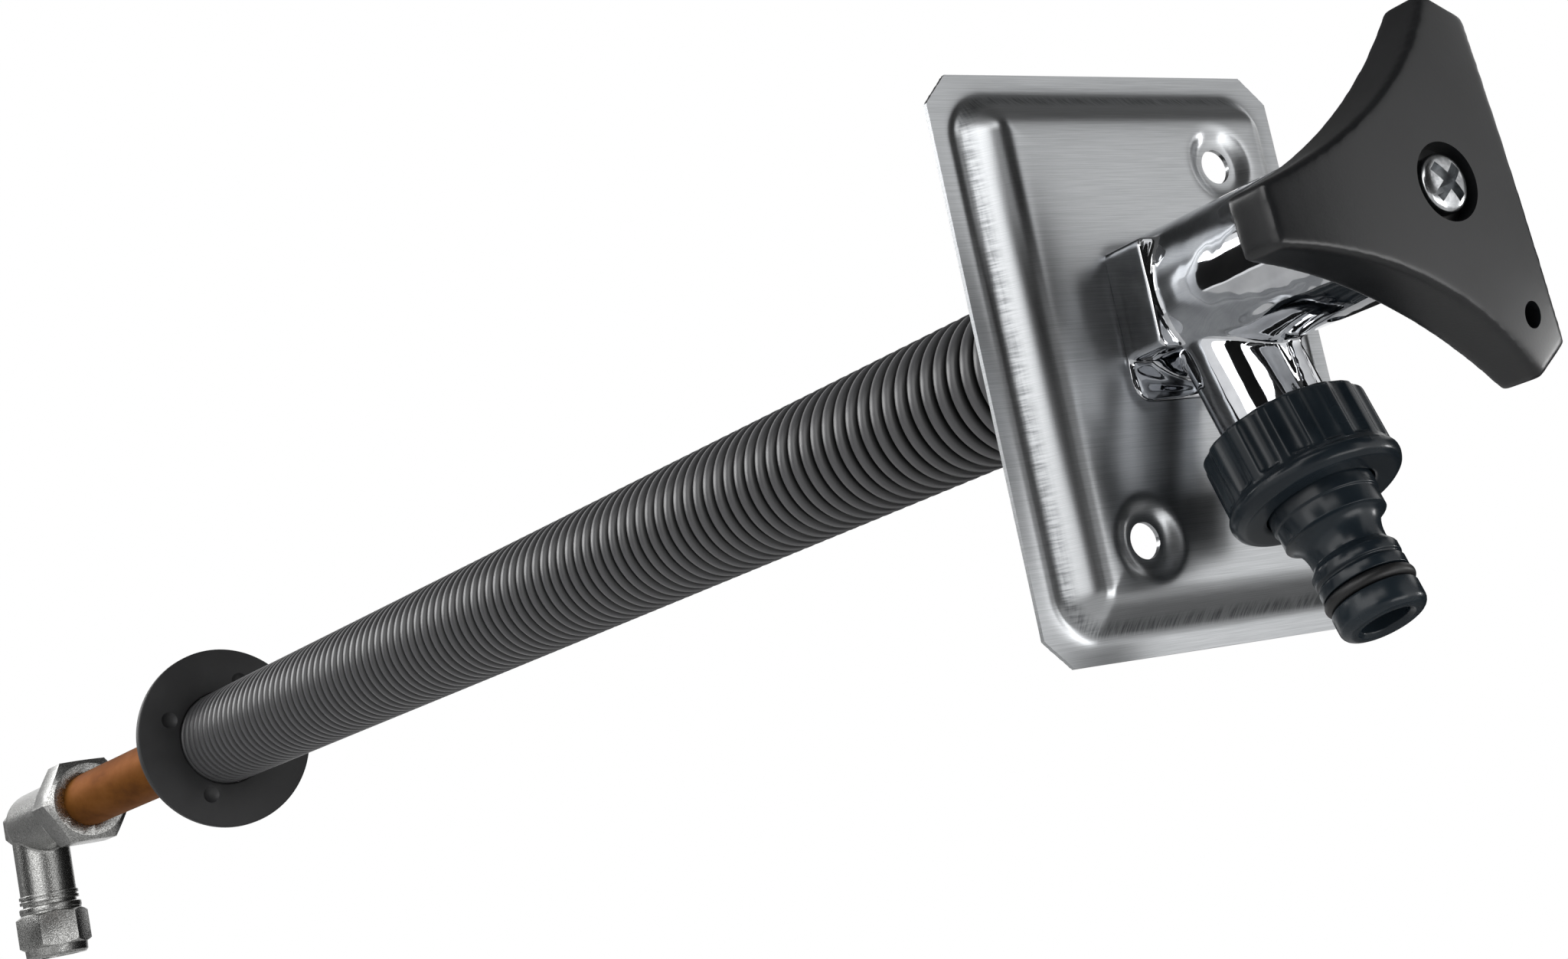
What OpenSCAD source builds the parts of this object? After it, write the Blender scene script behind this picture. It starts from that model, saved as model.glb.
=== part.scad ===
// Frost free sillcock: an outdoor tap whose valve sits at the warm end of a long tube.
// Millimetres. The origin lies midway between the plate's two screw holes, at the back of the sheet
// round them. +Z is up, the tap faces -Y and its tube runs into the wall along +Y.

/* [Wall plate] */
// Width of the pressed plate
plate_w = 92; // [84:1:110]
// Height of the pressed plate
plate_h = 120; // [112:1:140]
// Thickness of the sheet
sheet_t = 1; // [0.8:0.1:1.5]
// Cut across each corner of the plate
corner_cut = 6; // [4:0.5:8]
// Width of the flat rim round the raised tray
rim_w = 4.5; // [3.5:0.5:6]
// Height of the tray's front above the wall
tray_depth = 9; // [7:0.5:12]
// Width of the tray's sloping sides
slope_run = 5.5; // [4:0.5:7]
// Corner radius at the foot of the tray
tray_corner_r = 8; // [7.5:0.5:10]
// Corner radius of the tray's front
front_corner_r = 6; // [4:0.5:8]
// Height over which the tray's sides round into its front
shoulder_h = 3.2; // [2:0.2:4.5]
// Sideways distance of a screw hole from the plate's centre
screw_x = 21; // [19:0.5:24]
// Vertical distance of a screw hole from the plate's centre
screw_z = 38; // [35:0.5:41]
// Diameter of a screw hole
screw_hole_d = 7.4; // [6:0.1:8.5]
// Depth of the dimple round a screw hole
dimple_depth = 2; // [1:0.25:3]
// Diameter of the dimple round a screw hole
dimple_d = 17; // [15:0.5:18]

/* [Tap body] */
// Height of the tap's axis above the plate's centre
axis_z = 8.5; // [5:0.5:11]
// Diameter of the barrel
barrel_d = 31; // [30:0.5:33]
// Length of the barrel in front of the plate
barrel_len = 55; // [52:1:62]
// Width of the side block and of the foot
block_w = 33; // [32:0.5:36]
// Height of the side block
block_h = 22.5; // [19:0.5:24]
// Depth of the side block in front of the plate
block_depth = 10.5; // [8:0.5:13]
// Rounding of the side block's edges
block_r = 1.5; // [0.5:0.5:3]
// Chamfer at the front of the barrel
barrel_chamfer = 1; // [0.5:0.25:2]
// Distance of the foot's lower edge below the tap's axis
foot_drop = 19.5; // [17:0.5:21]
// Rounding of the foot's corners
foot_r = 4; // [2:0.5:6]
// Amount by which the foot stands proud of the plate
foot_proud = 1; // [0.5:0.25:2]
// Thickness of the flange behind the plate
body_flange_t = 2.5; // [2:0.25:3.5]
// Width of the flange outside the foot, all round
flange_margin = 2; // [1.5:0.25:3]
// Length of the spigot that holds the tube and the sleeve
spigot_len = 20; // [15:1:25]
// Diameter of the set screw under the barrel
set_screw_d = 4; // [3:0.5:5]
// Distance of the set screw from the barrel's front
set_screw_setback = 14.5; // [12:0.5:15]
// Depth of the set screw below the barrel's surface
set_screw_sunk = 1.2; // [0.5:0.1:1.5]

/* [Bonnet and spindle] */
// Diameter of the bonnet's thread
bonnet_d = 24; // [23:0.5:25]
// Length of the bonnet inside the barrel
bonnet_len = 17.5; // [16:0.5:20]
// Across flats of the bonnet's head
bonnet_head_af = 23; // [20:0.5:24]
// Thickness of the bonnet's head
bonnet_head_t = 3; // [2:0.5:5]
// Diameter of the spindle in the bonnet
spindle_d = 10; // [10:0.5:12]
// Diameter of the spindle's collar
collar_d = 16; // [15:0.5:18]
// Thickness of the spindle's collar
collar_t = 4.5; // [3:0.5:6]
// Thickness of the thrust washer
thrust_t = 1.3; // [0.8:0.1:2]
// Thickness of the gland rings
gland_t = 1.4; // [1.2:0.1:1.8]
// Spacing of the gland rings
gland_spacing = 5; // [4:0.5:6]
// Across flats of the square that drives the handle
drive_square = 7; // [6.5:0.1:7]
// Length of the square that drives the handle
drive_len = 9; // [7:0.5:9.5]
// Length of the sockets that hold the rod
rod_socket_len = 14; // [12:0.5:18]
// Wall of the sockets that hold the rod
rod_socket_wall = 2.5; // [2:0.25:3.5]
// Diameter of the cross pins
pin_d = 2.5; // [2:0.25:3]
// Distance of a cross pin from its socket's end
pin_setback = 4; // [3:0.5:6]

/* [Spout] */
// Forward tilt of the spout from the vertical
spout_tilt = 19.5; // [15:0.5:24]
// Distance of the spout's axis from the plate, along the barrel
spout_setback = 9; // [8:0.5:12]
// Diameter of the spout
spout_d = 22; // [20:0.5:24]
// Distance from the tap's axis to the hose thread
spout_reach = 34.8; // [33:0.2:40]
// Diameter of the hose thread
thread_d = 26.3; // [25:0.1:28]
// Length of the hose thread
thread_len = 6.7; // [6:0.1:9]
// Diameter of the spout's bore
spout_bore_d = 11; // [8:0.5:12]
// Thickness of the web between barrel and spout
web_t = 4; // [3:0.5:5]
// Reach of the web in front of the spout, under the barrel
web_reach = 3; // [2:0.5:5]

/* [Check valve] */
// Diameter of the cartridge
check_d = 13; // [12.5:0.1:13.4]
// Distance of the cartridge from the end of the hose thread
check_setback = 1.5; // [1:0.1:2.5]
// Length of the cartridge
check_len = 12; // [11:0.5:13]
// Wall of the cartridge
check_wall = 1.2; // [1:0.1:1.4]
// Diameter of the opening that the poppet closes
check_seat_d = 6; // [5:0.5:7]
// Diameter of the poppet
poppet_d = 9; // [8.5:0.1:9.5]
// Thickness of the poppet
poppet_t = 1.5; // [1.2:0.1:1.8]
// Diameter of the poppet's stem
poppet_stem_d = 2.4; // [2:0.1:2.8]
// Thickness of the retainer that guides the stem
retainer_t = 1.6; // [1.2:0.1:2]
// Distance of the retainer from the cartridge's end
retainer_setback = 0.9; // [0.5:0.1:1.5]
// Diameter of the water ways in the retainer
retainer_hole_d = 2; // [1.5:0.1:2.2]
// Diameter of the spring's coil
spring_d = 4.8; // [4.2:0.1:5.4]
// Diameter of the spring's wire
spring_wire_d = 0.5; // [0.3:0.1:0.6]
// Curls of the spring
spring_curls = 4; // [3:1:5]

/* [Handle] */
// Distance from the axis to the end of an arm
arm_reach = 40; // [37:0.5:44]
// Width of an arm at its end
arm_end_w = 11.5; // [10:0.5:14]
// Depth of the hollow in each side
side_hollow = 5; // [3:0.5:6]
// Thickness at the end of an arm
handle_t = 9.5; // [9:0.5:13]
// Rise of the domed front above the arm ends
dome_rise = 5.5; // [4:0.5:7]
// Direction of the upper arm, measured from +X
handle_phase = 65; // [0:1:119]
// Distance of the handle from the bonnet
handle_gap = 0.5; // [0.3:0.1:1.5]
// Distance from the axis to the hole in one arm
arm_hole_reach = 30; // [24:0.5:32]
// Depth of the screw's recess
recess_depth = 4; // [3:0.25:4.5]
// Diameter of the screw's recess
recess_d = 15; // [13:0.2:16]
// Diameter of the hole in one arm
arm_hole_d = 5; // [3:0.5:6]
// Diameter of the handle screw
handle_screw_d = 5; // [4:0.5:5]
// Diameter of the handle screw's head
screw_head_d = 11.25; // [10:0.25:12.5]
// Height of the handle screw's head
screw_head_h = 4.2; // [3:0.2:4.6]

/* [Hose connector] */
// Diameter of the union nut over its flutes
nut_d = 34; // [33:0.2:37]
// Diameter of the nut's lip
nut_lip_d = 35.4; // [34:0.2:38]
// Height of the union nut
nut_h = 16.7; // [16:0.1:19]
// Height of the nut above the hose thread
nut_overlap = 1.5; // [1:0.1:3]
// Height of the nut's lip
nut_lip_h = 4.2; // [3:0.2:5]
// Flutes round the nut
flute_count = 16; // [12:1:20]
// Depth of a flute
flute_depth = 0.9; // [0.5:0.1:1.2]
// Radius of a flute
flute_r = 2.2; // [1.5:0.1:3]
// Thickness of the seal between spout and nose
hose_washer_t = 2; // [1.5:0.1:2.5]
// Thickness of the nose's flange inside the nut
nose_flange_t = 2.2; // [1.8:0.1:2.6]
// Diameter of the nose's flange inside the nut
nose_flange_d = 25.7; // [24.5:0.1:25.8]
// Diameter of the nose at its tip
nose_d = 17.6; // [16.5:0.1:18.5]
// Length of the nose below the nut
nose_len = 27; // [25:0.5:30]
// Diameter of the nose's shoulder
nose_shoulder_d = 21.6; // [20.5:0.1:22]
// Length of the nose's shoulder below the nut
nose_shoulder_len = 6; // [4:0.5:7]
// Distance from the nut to the nose's waist
nose_waist_drop = 11.5; // [10:0.5:12]
// Diameter of the nose's waist
nose_waist_d = 15.2; // [14:0.1:16]
// Distance from the nut to the collar below the waist
nose_collar_drop = 13.5; // [13:0.5:15]
// Length of the tip below the sealing ring
nose_tip_len = 5.5; // [4:0.5:6.5]
// Rounding of the tip
nose_tip_round = 2; // [1:0.25:3]
// Diameter of the nose's bore
nose_bore_d = 10; // [8:0.5:11]
// Thickness of the sealing ring on the nose
nose_ring_t = 2.6; // [2.2:0.1:3]
// Amount by which the sealing ring stands out of the nose
nose_ring_proud = 0.4; // [0.2:0.1:0.8]

/* [Tube and sleeve] */
// Diameter of the copper tube
tube_d = 22; // [22:0.5:24]
// Distance of the tube's front end behind the body's flange
tube_setback = 1.5; // [1:0.25:3]
// Wall of the copper tube
tube_wall = 1; // [0.8:0.1:1.2]
// Diameter of the sleeve over its ribs
sleeve_d = 34; // [32.5:0.5:37]
// Diameter of the sleeve's bore
sleeve_bore_d = 28.2; // [27.5:0.1:29]
// Depth of the grooves between the ribs
groove_depth = 1.3; // [0.8:0.1:1.6]
// Width of the grooves between the ribs
groove_w = 1.5; // [0.8:0.1:2]
// Length of the sleeve
sleeve_len = 541.5; // [400:0.5:700]
// Ribs along the sleeve
rib_count = 110; // [80:1:140]
// Diameter of the rear flange
flange_d = 66; // [55:1:90]
// Thickness of the rear flange
flange_t = 3; // [2:0.5:5]
// Length of the rear flange's hub behind its disc
flange_hub_len = 6; // [4:1:12]
// Diameter of the rear flange's hub
flange_hub_d = 40; // [39:0.5:46]
// Distance of the flange's dimples from its axis
flange_dimple_reach = 22; // [21.5:0.5:26]
// Diameter of the flange's dimples
flange_dimple_d = 5; // [3:0.5:6]
// Direction of the flange's first dimple
flange_dimple_phase = 24; // [0:1:89]
// Depth of the flange's dimples
flange_dimple_depth = 1.4; // [0.5:0.1:1.8]
// Bare tube between the sleeve and the elbow
bare_tube = 150; // [120:1:220]

/* [Elbow] */
// Across flats of the nut on the tube
large_nut_af = 33.5; // [31:0.5:36]
// Length of the nut on the tube
large_nut_len = 20; // [16:0.5:22]
// Chamfer of the large nut's corners
large_nut_chamfer = 2.4; // [1.5:0.1:3]
// Thickness of the nuts' lips
nut_lip_t = 4; // [3:0.25:5]
// Length of the compression rings
olive_len = 6; // [5:0.5:7]
// Thickness of the compression rings
olive_t = 1.5; // [1.2:0.1:1.7]
// Diameter of the elbow's thread on the tube's side
elbow_thread_d = 28.6; // [27.5:0.1:29]
// Length of the elbow's thread on the tube's side
elbow_thread_len = 11; // [10:0.5:12]
// Diameter of the elbow's shoulder behind the thread
elbow_shoulder_d = 31; // [29.5:0.5:33]
// Length of the elbow's shoulder behind the thread
elbow_shoulder_len = 5; // [3:0.5:6]
// Diameter of the elbow's neck
elbow_neck_d = 27; // [26:0.5:29]
// Depth of the tube in the elbow
tube_depth = 17; // [15:0.5:18]
// Across the flats of the boss at the elbow's back
elbow_boss_af = 20; // [16:0.5:22]
// Amount by which the boss stands out of the elbow's back
elbow_boss_proud = 4; // [2:0.25:6]
// Distance from the large nut's face to the leg's axis
elbow_reach = 74; // [56:1:84]
// Diameter of the supply pipe that the lower leg takes
supply_d = 18; // [15:0.5:18]
// Diameter of the elbow's leg
leg_d = 24; // [23.5:0.5:26]
// Distance from the tube's axis to the lower thread
leg_len = 35; // [30:1:42]
// Across flats of the lower nut
small_nut_af = 27; // [27:0.5:30]
// Length of the lower nut
small_nut_len = 22.5; // [20:0.5:25]
// Chamfer of the lower nut's corners
small_nut_chamfer = 1.8; // [1:0.1:2.5]
// Height of the round collar on top of the lower nut
small_nut_collar_h = 4.5; // [3:0.5:6]
// Diameter of the elbow's thread on the supply's side
leg_thread_d = 23; // [22.5:0.1:23.6]
// Thread that shows above the lower nut
leg_thread_shown = 1.5; // [1:0.25:3]
// Width of the ledge that stops the supply pipe
supply_stop = 1.5; // [1:0.25:2.5]
// Depth of the supply pipe in the elbow, above the thread
supply_depth = 3; // [2:0.5:5]
// Height of the rings turned on the leg
leg_ring_h = 1.4; // [1:0.1:2]
// Amount by which the rings stand out of the leg
leg_ring_proud = 0.7; // [0.4:0.1:1.2]
// Groove between the rings
leg_ring_gap = 0.8; // [0.5:0.1:1.5]

/* [Valve] */
// Diameter of the operating rod
rod_d = 8; // [7:0.5:9]
// Lift of the valve from closed to open
valve_lift = 5; // [3:0.5:6]
// Diameter of the opening in the valve seat
seat_d = 10; // [8:0.5:11]
// Thickness of the rubber seat washer
washer_t = 3; // [2:0.5:4]
// Width of the lip that the washer closes on
seat_lip_w = 1.5; // [1:0.25:2]
// Height of the lip that the washer closes on
seat_lip_h = 1.5; // [1:0.25:2.5]
// Length of the seat bush
seat_len = 10; // [8:0.5:14]
// Distance from the seat to the elbow's nut
seat_setback = 26.5; // [24:0.5:40]
// Diameter of the carrier's head
carrier_head_d = 16; // [15.5:0.1:17]
// Thickness of the carrier's head
carrier_head_t = 3; // [2.5:0.25:4]
// Across flats of the carrier's shank
carrier_square = 10.8; // [10.4:0.1:11.2]
// Length of the carrier's shank
carrier_shank = 17; // [16:0.5:22]
// Depth of the carrier's thread
carrier_bore_depth = 12; // [11.5:0.25:12.5]
// Diameter of the drive screw
drive_screw_d = 8; // [7:0.25:8.5]
// Diameter of the screw that holds the washer
washer_screw_d = 3; // [2.5:0.25:3.5]
// Diameter of the head of the screw that holds the washer
washer_screw_head_d = 6; // [5:0.25:7]
// Height of the head of the screw that holds the washer
washer_screw_head_h = 1.4; // [1:0.1:2]
// Length of the carrier's guide
guide_len = 8; // [6:0.5:9]
// Diameter of the water ways in the carrier's guide
guide_way_d = 5; // [4:0.25:5.5]
// Spacers that centre the rod
spacer_count = 3; // [2:1:5]
// Thickness of a spacer
spacer_t = 6; // [4:0.5:10]
// Diameter of the water ways in a spacer
spacer_way_d = 8; // [6:0.25:8.5]

/* [Clearances] */
// Radial clearance of pieces that turn or slide in one another
running_gap = 0.07; // [0.02:0.01:0.1]
// Radial clearance of pieces that are pushed or screwed together
fit_gap = 0.05; // [0.02:0.01:0.1]
// Clearance of faces that pass each other
free_gap = 0.3; // [0.3:0.1:0.5]
// Clearance of flat faces that lie against each other
face_gap = 0.1; // [0.05:0.05:0.2]

/* [Hidden] */
$fn = 64;
eps = 0.1;

// Places along the tap's axis, from the back of the screw holes
wall_y = tray_depth - dimple_depth - sheet_t;
plateau_y = wall_y - tray_depth;
body_flange_y = plateau_y + sheet_t;
spigot_y = body_flange_y + body_flange_t;
barrel_y = plateau_y - barrel_len;
spout_y = plateau_y - spout_setback;
set_screw_y = barrel_y + set_screw_setback;
spigot_d = sleeve_bore_d - 2 * fit_gap;
dimple_floor_d = (screw_hole_d + dimple_d) / 2;

// Bonnet and spindle
bonnet_back_y = barrel_y + bonnet_len;
collar_y = bonnet_back_y + thrust_t + 2 * face_gap;
gland_groove_d = spindle_d - 2 * gland_t + 2 * fit_gap;
gland_groove_w = gland_t + 2 * free_gap;
gland_places = [bonnet_back_y - gland_spacing, bonnet_back_y - 2 * gland_spacing];
rod_socket_d = rod_d + 2 * rod_socket_wall;
rod_front_y = collar_y + face_gap;
spindle_back_y = rod_front_y + rod_socket_len;
tube_bore_d = tube_d - 2 * tube_wall;
tube_bush_d = tube_bore_d - 2 * fit_gap;

// Handle
handle_y = barrel_y - bonnet_head_t - handle_gap;
handle_front = handle_t + dome_rise;
recess_floor = handle_front - recess_depth;
dome_r = (arm_reach * arm_reach + dome_rise * dome_rise) / (2 * dome_rise);
side_chord = arm_reach * cos(60) + arm_end_w / 2 * sin(60);
side_half = arm_reach * sin(60) - arm_end_w / 2 * cos(60);
side_r = (side_half * side_half + side_hollow * side_hollow) / (2 * side_hollow);

// Places down the spout, from the tap's axis
thread_end = spout_reach + thread_len;
nut_top = spout_reach - nut_overlap;
nut_bottom = nut_top + nut_h;
nose_top = thread_end + hose_washer_t + 2 * face_gap;
nut_floor = nose_top + nose_flange_t + free_gap;
nose_tip = nut_bottom + nose_len;
ring_groove_d = nose_d + 2 * nose_ring_proud - 2 * nose_ring_t - 2 * fit_gap;
ring_groove_end = nose_tip - nose_tip_len;
ring_groove_top = ring_groove_end - nose_ring_t - 2 * face_gap;
check_top = thread_end - check_len - check_setback;
poppet_top = check_top + poppet_t + face_gap;
retainer_top = check_top + check_len - retainer_t - retainer_setback;
spring_top = poppet_top + poppet_t + free_gap;
spring_bottom = retainer_top - face_gap;

// Tube, sleeve and elbow
tube_front_y = spigot_y + tube_setback;
sleeve_back_y = spigot_y + sleeve_len;
rib_pitch = sleeve_len / rib_count;
flange_front_y = sleeve_back_y - flange_t - flange_hub_len;
nut_face_y = sleeve_back_y + bare_tube;
elbow_y = nut_face_y + elbow_reach;
elbow_thread_y = nut_face_y + nut_lip_t + olive_len + 2 * face_gap;
elbow_shoulder_y = elbow_thread_y + elbow_thread_len;
tube_back_y = elbow_thread_y + tube_depth;
tube_hole_d = tube_d + 2 * fit_gap;
supply_hole_d = supply_d + 2 * fit_gap;
waterway_d = tube_bore_d - 2 * supply_stop;
leg_waterway_d = supply_d - 2 * supply_stop;
small_nut_top = leg_len + leg_thread_shown;
leg_thread_end = small_nut_top + small_nut_len - nut_lip_t - olive_len - 2 * face_gap;

// Valve at the warm end of the tube
seat_y = nut_face_y - seat_setback;
carrier_y = seat_y - face_gap - washer_t - carrier_head_t;
carrier_front_y = carrier_y - carrier_shank;
drive_end_y = carrier_front_y + carrier_bore_depth - valve_lift - free_gap;
drive_socket_y = carrier_front_y - valve_lift - free_gap;
rod_back_y = drive_socket_y - rod_socket_wall;
guide_y = carrier_y - valve_lift - free_gap - guide_len;
washer_screw_reach = carrier_shank - carrier_bore_depth - 3 * free_gap;

brass = "#b5934f";
chrome = "#c9ccd0";
dark_plastic = "#2c3338";
black_plastic = "#232323";
black_rubber = "#151515";
steel = "#a8abae";
nickel = "#b3b3b0";

// Puts a piece on the tap's axis at y, with its own +Z pointing into the wall.
module on_axis(y) {
    translate([0, y, axis_z]) rotate([-90, 0, 0]) children();
}

// Puts a piece on the tap's axis at y, with its own +Z pointing out of the wall and +Y up.
module facing_front(y) {
    translate([0, y, axis_z]) rotate([90, 0, 0]) children();
}

// Puts a piece on the spout's axis, a distance s from the tap's axis, with its own +Z downstream.
module on_spout(s) {
    translate([0, spout_y, axis_z]) rotate([180 - spout_tilt, 0, 0]) translate([0, 0, s]) children();
}

// Puts a piece below the elbow, a distance s from the tube's axis, with its own +Z downwards.
module on_leg(s) {
    translate([0, elbow_y, axis_z]) rotate([180, 0, 0]) translate([0, 0, s]) children();
}

module ring(d_out, d_in, h) {
    difference() {
        cylinder(d = d_out, h = h);
        translate([0, 0, -eps]) cylinder(d = d_in, h = h + 2 * eps);
    }
}

module torus(d_mid, d_wire) {
    rotate_extrude() translate([d_mid / 2, 0]) circle(d = d_wire, $fn = 32);
}

// A rectangle with round corners, centred.
module round_rect(w, h, r) {
    square([w - 2 * r, h], center = true);
    square([w, h - 2 * r], center = true);
    for (x = [-1, 1], y = [-1, 1]) translate([x * (w / 2 - r), y * (h / 2 - r)]) circle(r = r, $fn = 32);
}

// A hexagonal nut whose corners are turned to a cone at both ends.
module hex_nut(af, h, chamfer) {
    across = af / cos(30);
    intersection() {
        cylinder(d = across, h = h, $fn = 6);
        rotate_extrude() polygon([
            [0, 0], [af / 2 - 0.3, 0], [across / 2, chamfer],
            [across / 2, h - chamfer], [af / 2 - 0.3, h], [0, h]
        ]);
    }
}

// The pressed tray as a solid. The shrink is taken off all round, and off the front.
module tray(shrink) {
    w = plate_w - 2 * rim_w - 2 * shrink;
    h = plate_h - 2 * rim_w - 2 * shrink;
    top = tray_depth - shrink;
    shoulder_in = 2 * slope_run - shoulder_h / 2;
    front_in = 2 * slope_run + shoulder_h / 2;
    hull() {
        translate([0, 0, -eps]) linear_extrude(eps) round_rect(w, h, tray_corner_r - shrink);
        translate([0, 0, top - shoulder_h]) linear_extrude(eps)
            round_rect(w - shoulder_in, h - shoulder_in, front_corner_r);
        translate([0, 0, top - eps]) linear_extrude(eps)
            round_rect(w - front_in, h - front_in, front_corner_r);
    }
}

module plate_outline() {
    x = plate_w / 2;
    y = plate_h / 2;
    c = corner_cut;
    polygon([
        [-x + c, -y], [x - c, -y], [x, -y + c], [x, y - c],
        [x - c, y], [-x + c, y], [-x, y - c], [-x, -y + c]
    ]);
}

// The outline of the body's foot, which the plate's opening follows.
module foot_outline(grow) {
    top = block_h / 2;
    translate([0, axis_z + (top - foot_drop) / 2])
        round_rect(block_w + 2 * grow, top + foot_drop + 2 * grow, foot_r);
}

module wall_plate() {
    hole_level = tray_depth - dimple_depth;
    cup_h = dimple_depth + sheet_t / 2;
    color("#b9bbbd") translate([0, wall_y, 0]) rotate([90, 0, 0]) difference() {
        union() {
            difference() {
                union() {
                    linear_extrude(sheet_t) plate_outline();
                    intersection() {
                        tray(0);
                        linear_extrude(tray_depth + eps) plate_outline();
                    }
                }
                tray(sheet_t);
            }
            for (s = [-1, 1]) translate([s * screw_x, s * screw_z, hole_level - sheet_t])
                cylinder(d1 = dimple_floor_d + 2 * sheet_t, d2 = dimple_d + 2 * sheet_t, h = cup_h);
        }
        for (s = [-1, 1]) translate([s * screw_x, s * screw_z, 0]) {
            cylinder(d = screw_hole_d, h = tray_depth + eps);
            translate([0, 0, hole_level]) cylinder(d1 = dimple_floor_d, d2 = dimple_d, h = dimple_depth + eps);
        }
        linear_extrude(tray_depth + eps) foot_outline(fit_gap);
    }
}

// Everything that is cast as the body, before it is bored.
module body_casting() {
    rotate([90, 0, 0]) {
        translate([0, 0, -spigot_y]) linear_extrude(body_flange_t) foot_outline(flange_margin);
        translate([0, 0, -body_flange_y - eps]) linear_extrude(sheet_t + foot_proud + eps) foot_outline(0);
    }
    facing_front(plateau_y) {
        linear_extrude(block_depth) round_rect(block_w, block_h, block_r);
        cylinder(d = barrel_d, h = barrel_len - barrel_chamfer);
        translate([0, 0, barrel_len - barrel_chamfer])
            cylinder(d1 = barrel_d, d2 = barrel_d - 2 * barrel_chamfer, h = barrel_chamfer);
    }
    on_axis(spigot_y - eps) cylinder(d = spigot_d, h = spigot_len + eps);
    on_spout(0) cylinder(d = spout_d, h = spout_reach + eps);
    on_spout(spout_reach) cylinder(d = thread_d, h = thread_len);
    on_spout(0) web();
}

// The web in front of the spout, which runs out at the top of the hose thread.
module web() {
    in_wall = (barrel_d + bonnet_d) / 4;
    front = spout_d / 2 + web_reach;
    translate([-web_t / 2, 0, 0]) rotate([90, 0, 90]) linear_extrude(web_t) polygon([
        [0, in_wall / cos(spout_tilt)], [front, in_wall / cos(spout_tilt) + front * tan(spout_tilt)],
        [spout_d / 2, spout_reach], [0, spout_reach]
    ]);
}

module tap_body() {
    wall = (barrel_d - bonnet_d) / 2;
    color(chrome) difference() {
        body_casting();
        on_axis(tube_front_y) cylinder(d = tube_hole_d, h = spigot_len);
        on_axis(bonnet_back_y - eps) cylinder(d = tube_bore_d, h = tube_front_y - bonnet_back_y + 2 * eps);
        facing_front(bonnet_back_y) cylinder(d = bonnet_d + 2 * fit_gap, h = bonnet_len + eps);
        on_spout(0) cylinder(d = spout_bore_d, h = thread_end + eps);
        on_spout(check_top - face_gap) cylinder(d = check_d + 2 * fit_gap, h = thread_end);
        translate([0, set_screw_y, axis_z - barrel_d / 2 - eps])
            cylinder(d = set_screw_d + 2 * fit_gap, h = wall + 2 * eps);
    }
}

module set_screw() {
    length = (barrel_d - bonnet_d) / 2 - set_screw_sunk;
    color(steel) translate([0, set_screw_y, axis_z - barrel_d / 2 + set_screw_sunk]) difference() {
        cylinder(d = set_screw_d, h = length);
        translate([0, 0, -eps]) cylinder(d = set_screw_d / 2, h = length / 2, $fn = 6);
    }
}

module bonnet() {
    length = bonnet_len + bonnet_head_t;
    color(brass) facing_front(bonnet_back_y) difference() {
        union() {
            cylinder(d = bonnet_d, h = bonnet_len);
            translate([0, 0, bonnet_len]) hex_nut(bonnet_head_af, bonnet_head_t, bonnet_head_t / 4);
        }
        translate([0, 0, -eps]) cylinder(d = spindle_d + 2 * running_gap, h = length + 2 * eps);
    }
}

module gland_orings() {
    mid = (gland_groove_d + spindle_d) / 2 + fit_gap;
    color(black_rubber) for (y = gland_places) on_axis(y) torus(mid, gland_t - fit_gap);
}

module thrust_washer() {
    color("#7a3b2e") on_axis(bonnet_back_y + face_gap) ring(collar_d, spindle_d + 2 * fit_gap, thrust_t);
}

module spindle() {
    journal = collar_y - handle_y - free_gap;
    color(brass) difference() {
        union() {
            facing_front(collar_y) cylinder(d = spindle_d, h = journal);
            facing_front(collar_y - journal) translate([-drive_square / 2, -drive_square / 2, -eps])
                cube([drive_square, drive_square, drive_len + free_gap + eps]);
            on_axis(collar_y) cylinder(d = collar_d, h = collar_t);
            on_axis(collar_y) cylinder(d = rod_socket_d, h = spindle_back_y - collar_y);
        }
        for (y = gland_places) on_axis(y - gland_groove_w / 2)
            ring(spindle_d + eps, gland_groove_d, gland_groove_w);
        on_axis(rod_front_y - face_gap) cylinder(d = rod_d + 2 * fit_gap, h = rod_socket_len + 2 * eps);
        facing_front(handle_y) translate([0, 0, -eps]) cylinder(d = handle_screw_d, h = drive_len + 2 * eps);
        rod_pin_holes();
    }
}

// The two places where a cross pin joins the rod to its neighbours.
module at_pins() {
    for (y = [spindle_back_y - pin_setback, drive_socket_y - rod_socket_len + pin_setback])
        translate([0, y, axis_z]) children();
}

module rod_pin_holes() {
    at_pins() cylinder(d = pin_d + 2 * fit_gap, h = rod_socket_d + 2 * eps, center = true);
}

module rod_pins() {
    color(steel) at_pins() cylinder(d = pin_d, h = rod_socket_d - 2 * face_gap, center = true);
}

module operating_rod() {
    color(steel) difference() {
        on_axis(rod_front_y) cylinder(d = rod_d, h = rod_back_y - rod_front_y);
        rod_pin_holes();
    }
}

module rod_guides() {
    span = (guide_y - spindle_back_y) / (spacer_count + 1);
    color("#d8d3c4") for (i = [1:spacer_count]) on_axis(spindle_back_y + i * span) difference() {
        ring(tube_bush_d, rod_d + 2 * running_gap, spacer_t);
        for (a = [0:120:240]) rotate(a) translate([tube_bush_d / 2, 0, -eps])
            cylinder(d = spacer_way_d, h = spacer_t + 2 * eps);
    }
}

module drive_screw() {
    color(brass) difference() {
        union() {
            on_axis(drive_socket_y - rod_socket_len) cylinder(d = rod_socket_d, h = rod_socket_len);
            on_axis(drive_socket_y - eps) cylinder(d = drive_screw_d, h = drive_end_y - drive_socket_y + eps);
        }
        on_axis(drive_socket_y - rod_socket_len - eps)
            cylinder(d = rod_d + 2 * fit_gap, h = rod_socket_len - rod_socket_wall + face_gap + eps);
        rod_pin_holes();
    }
}

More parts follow.
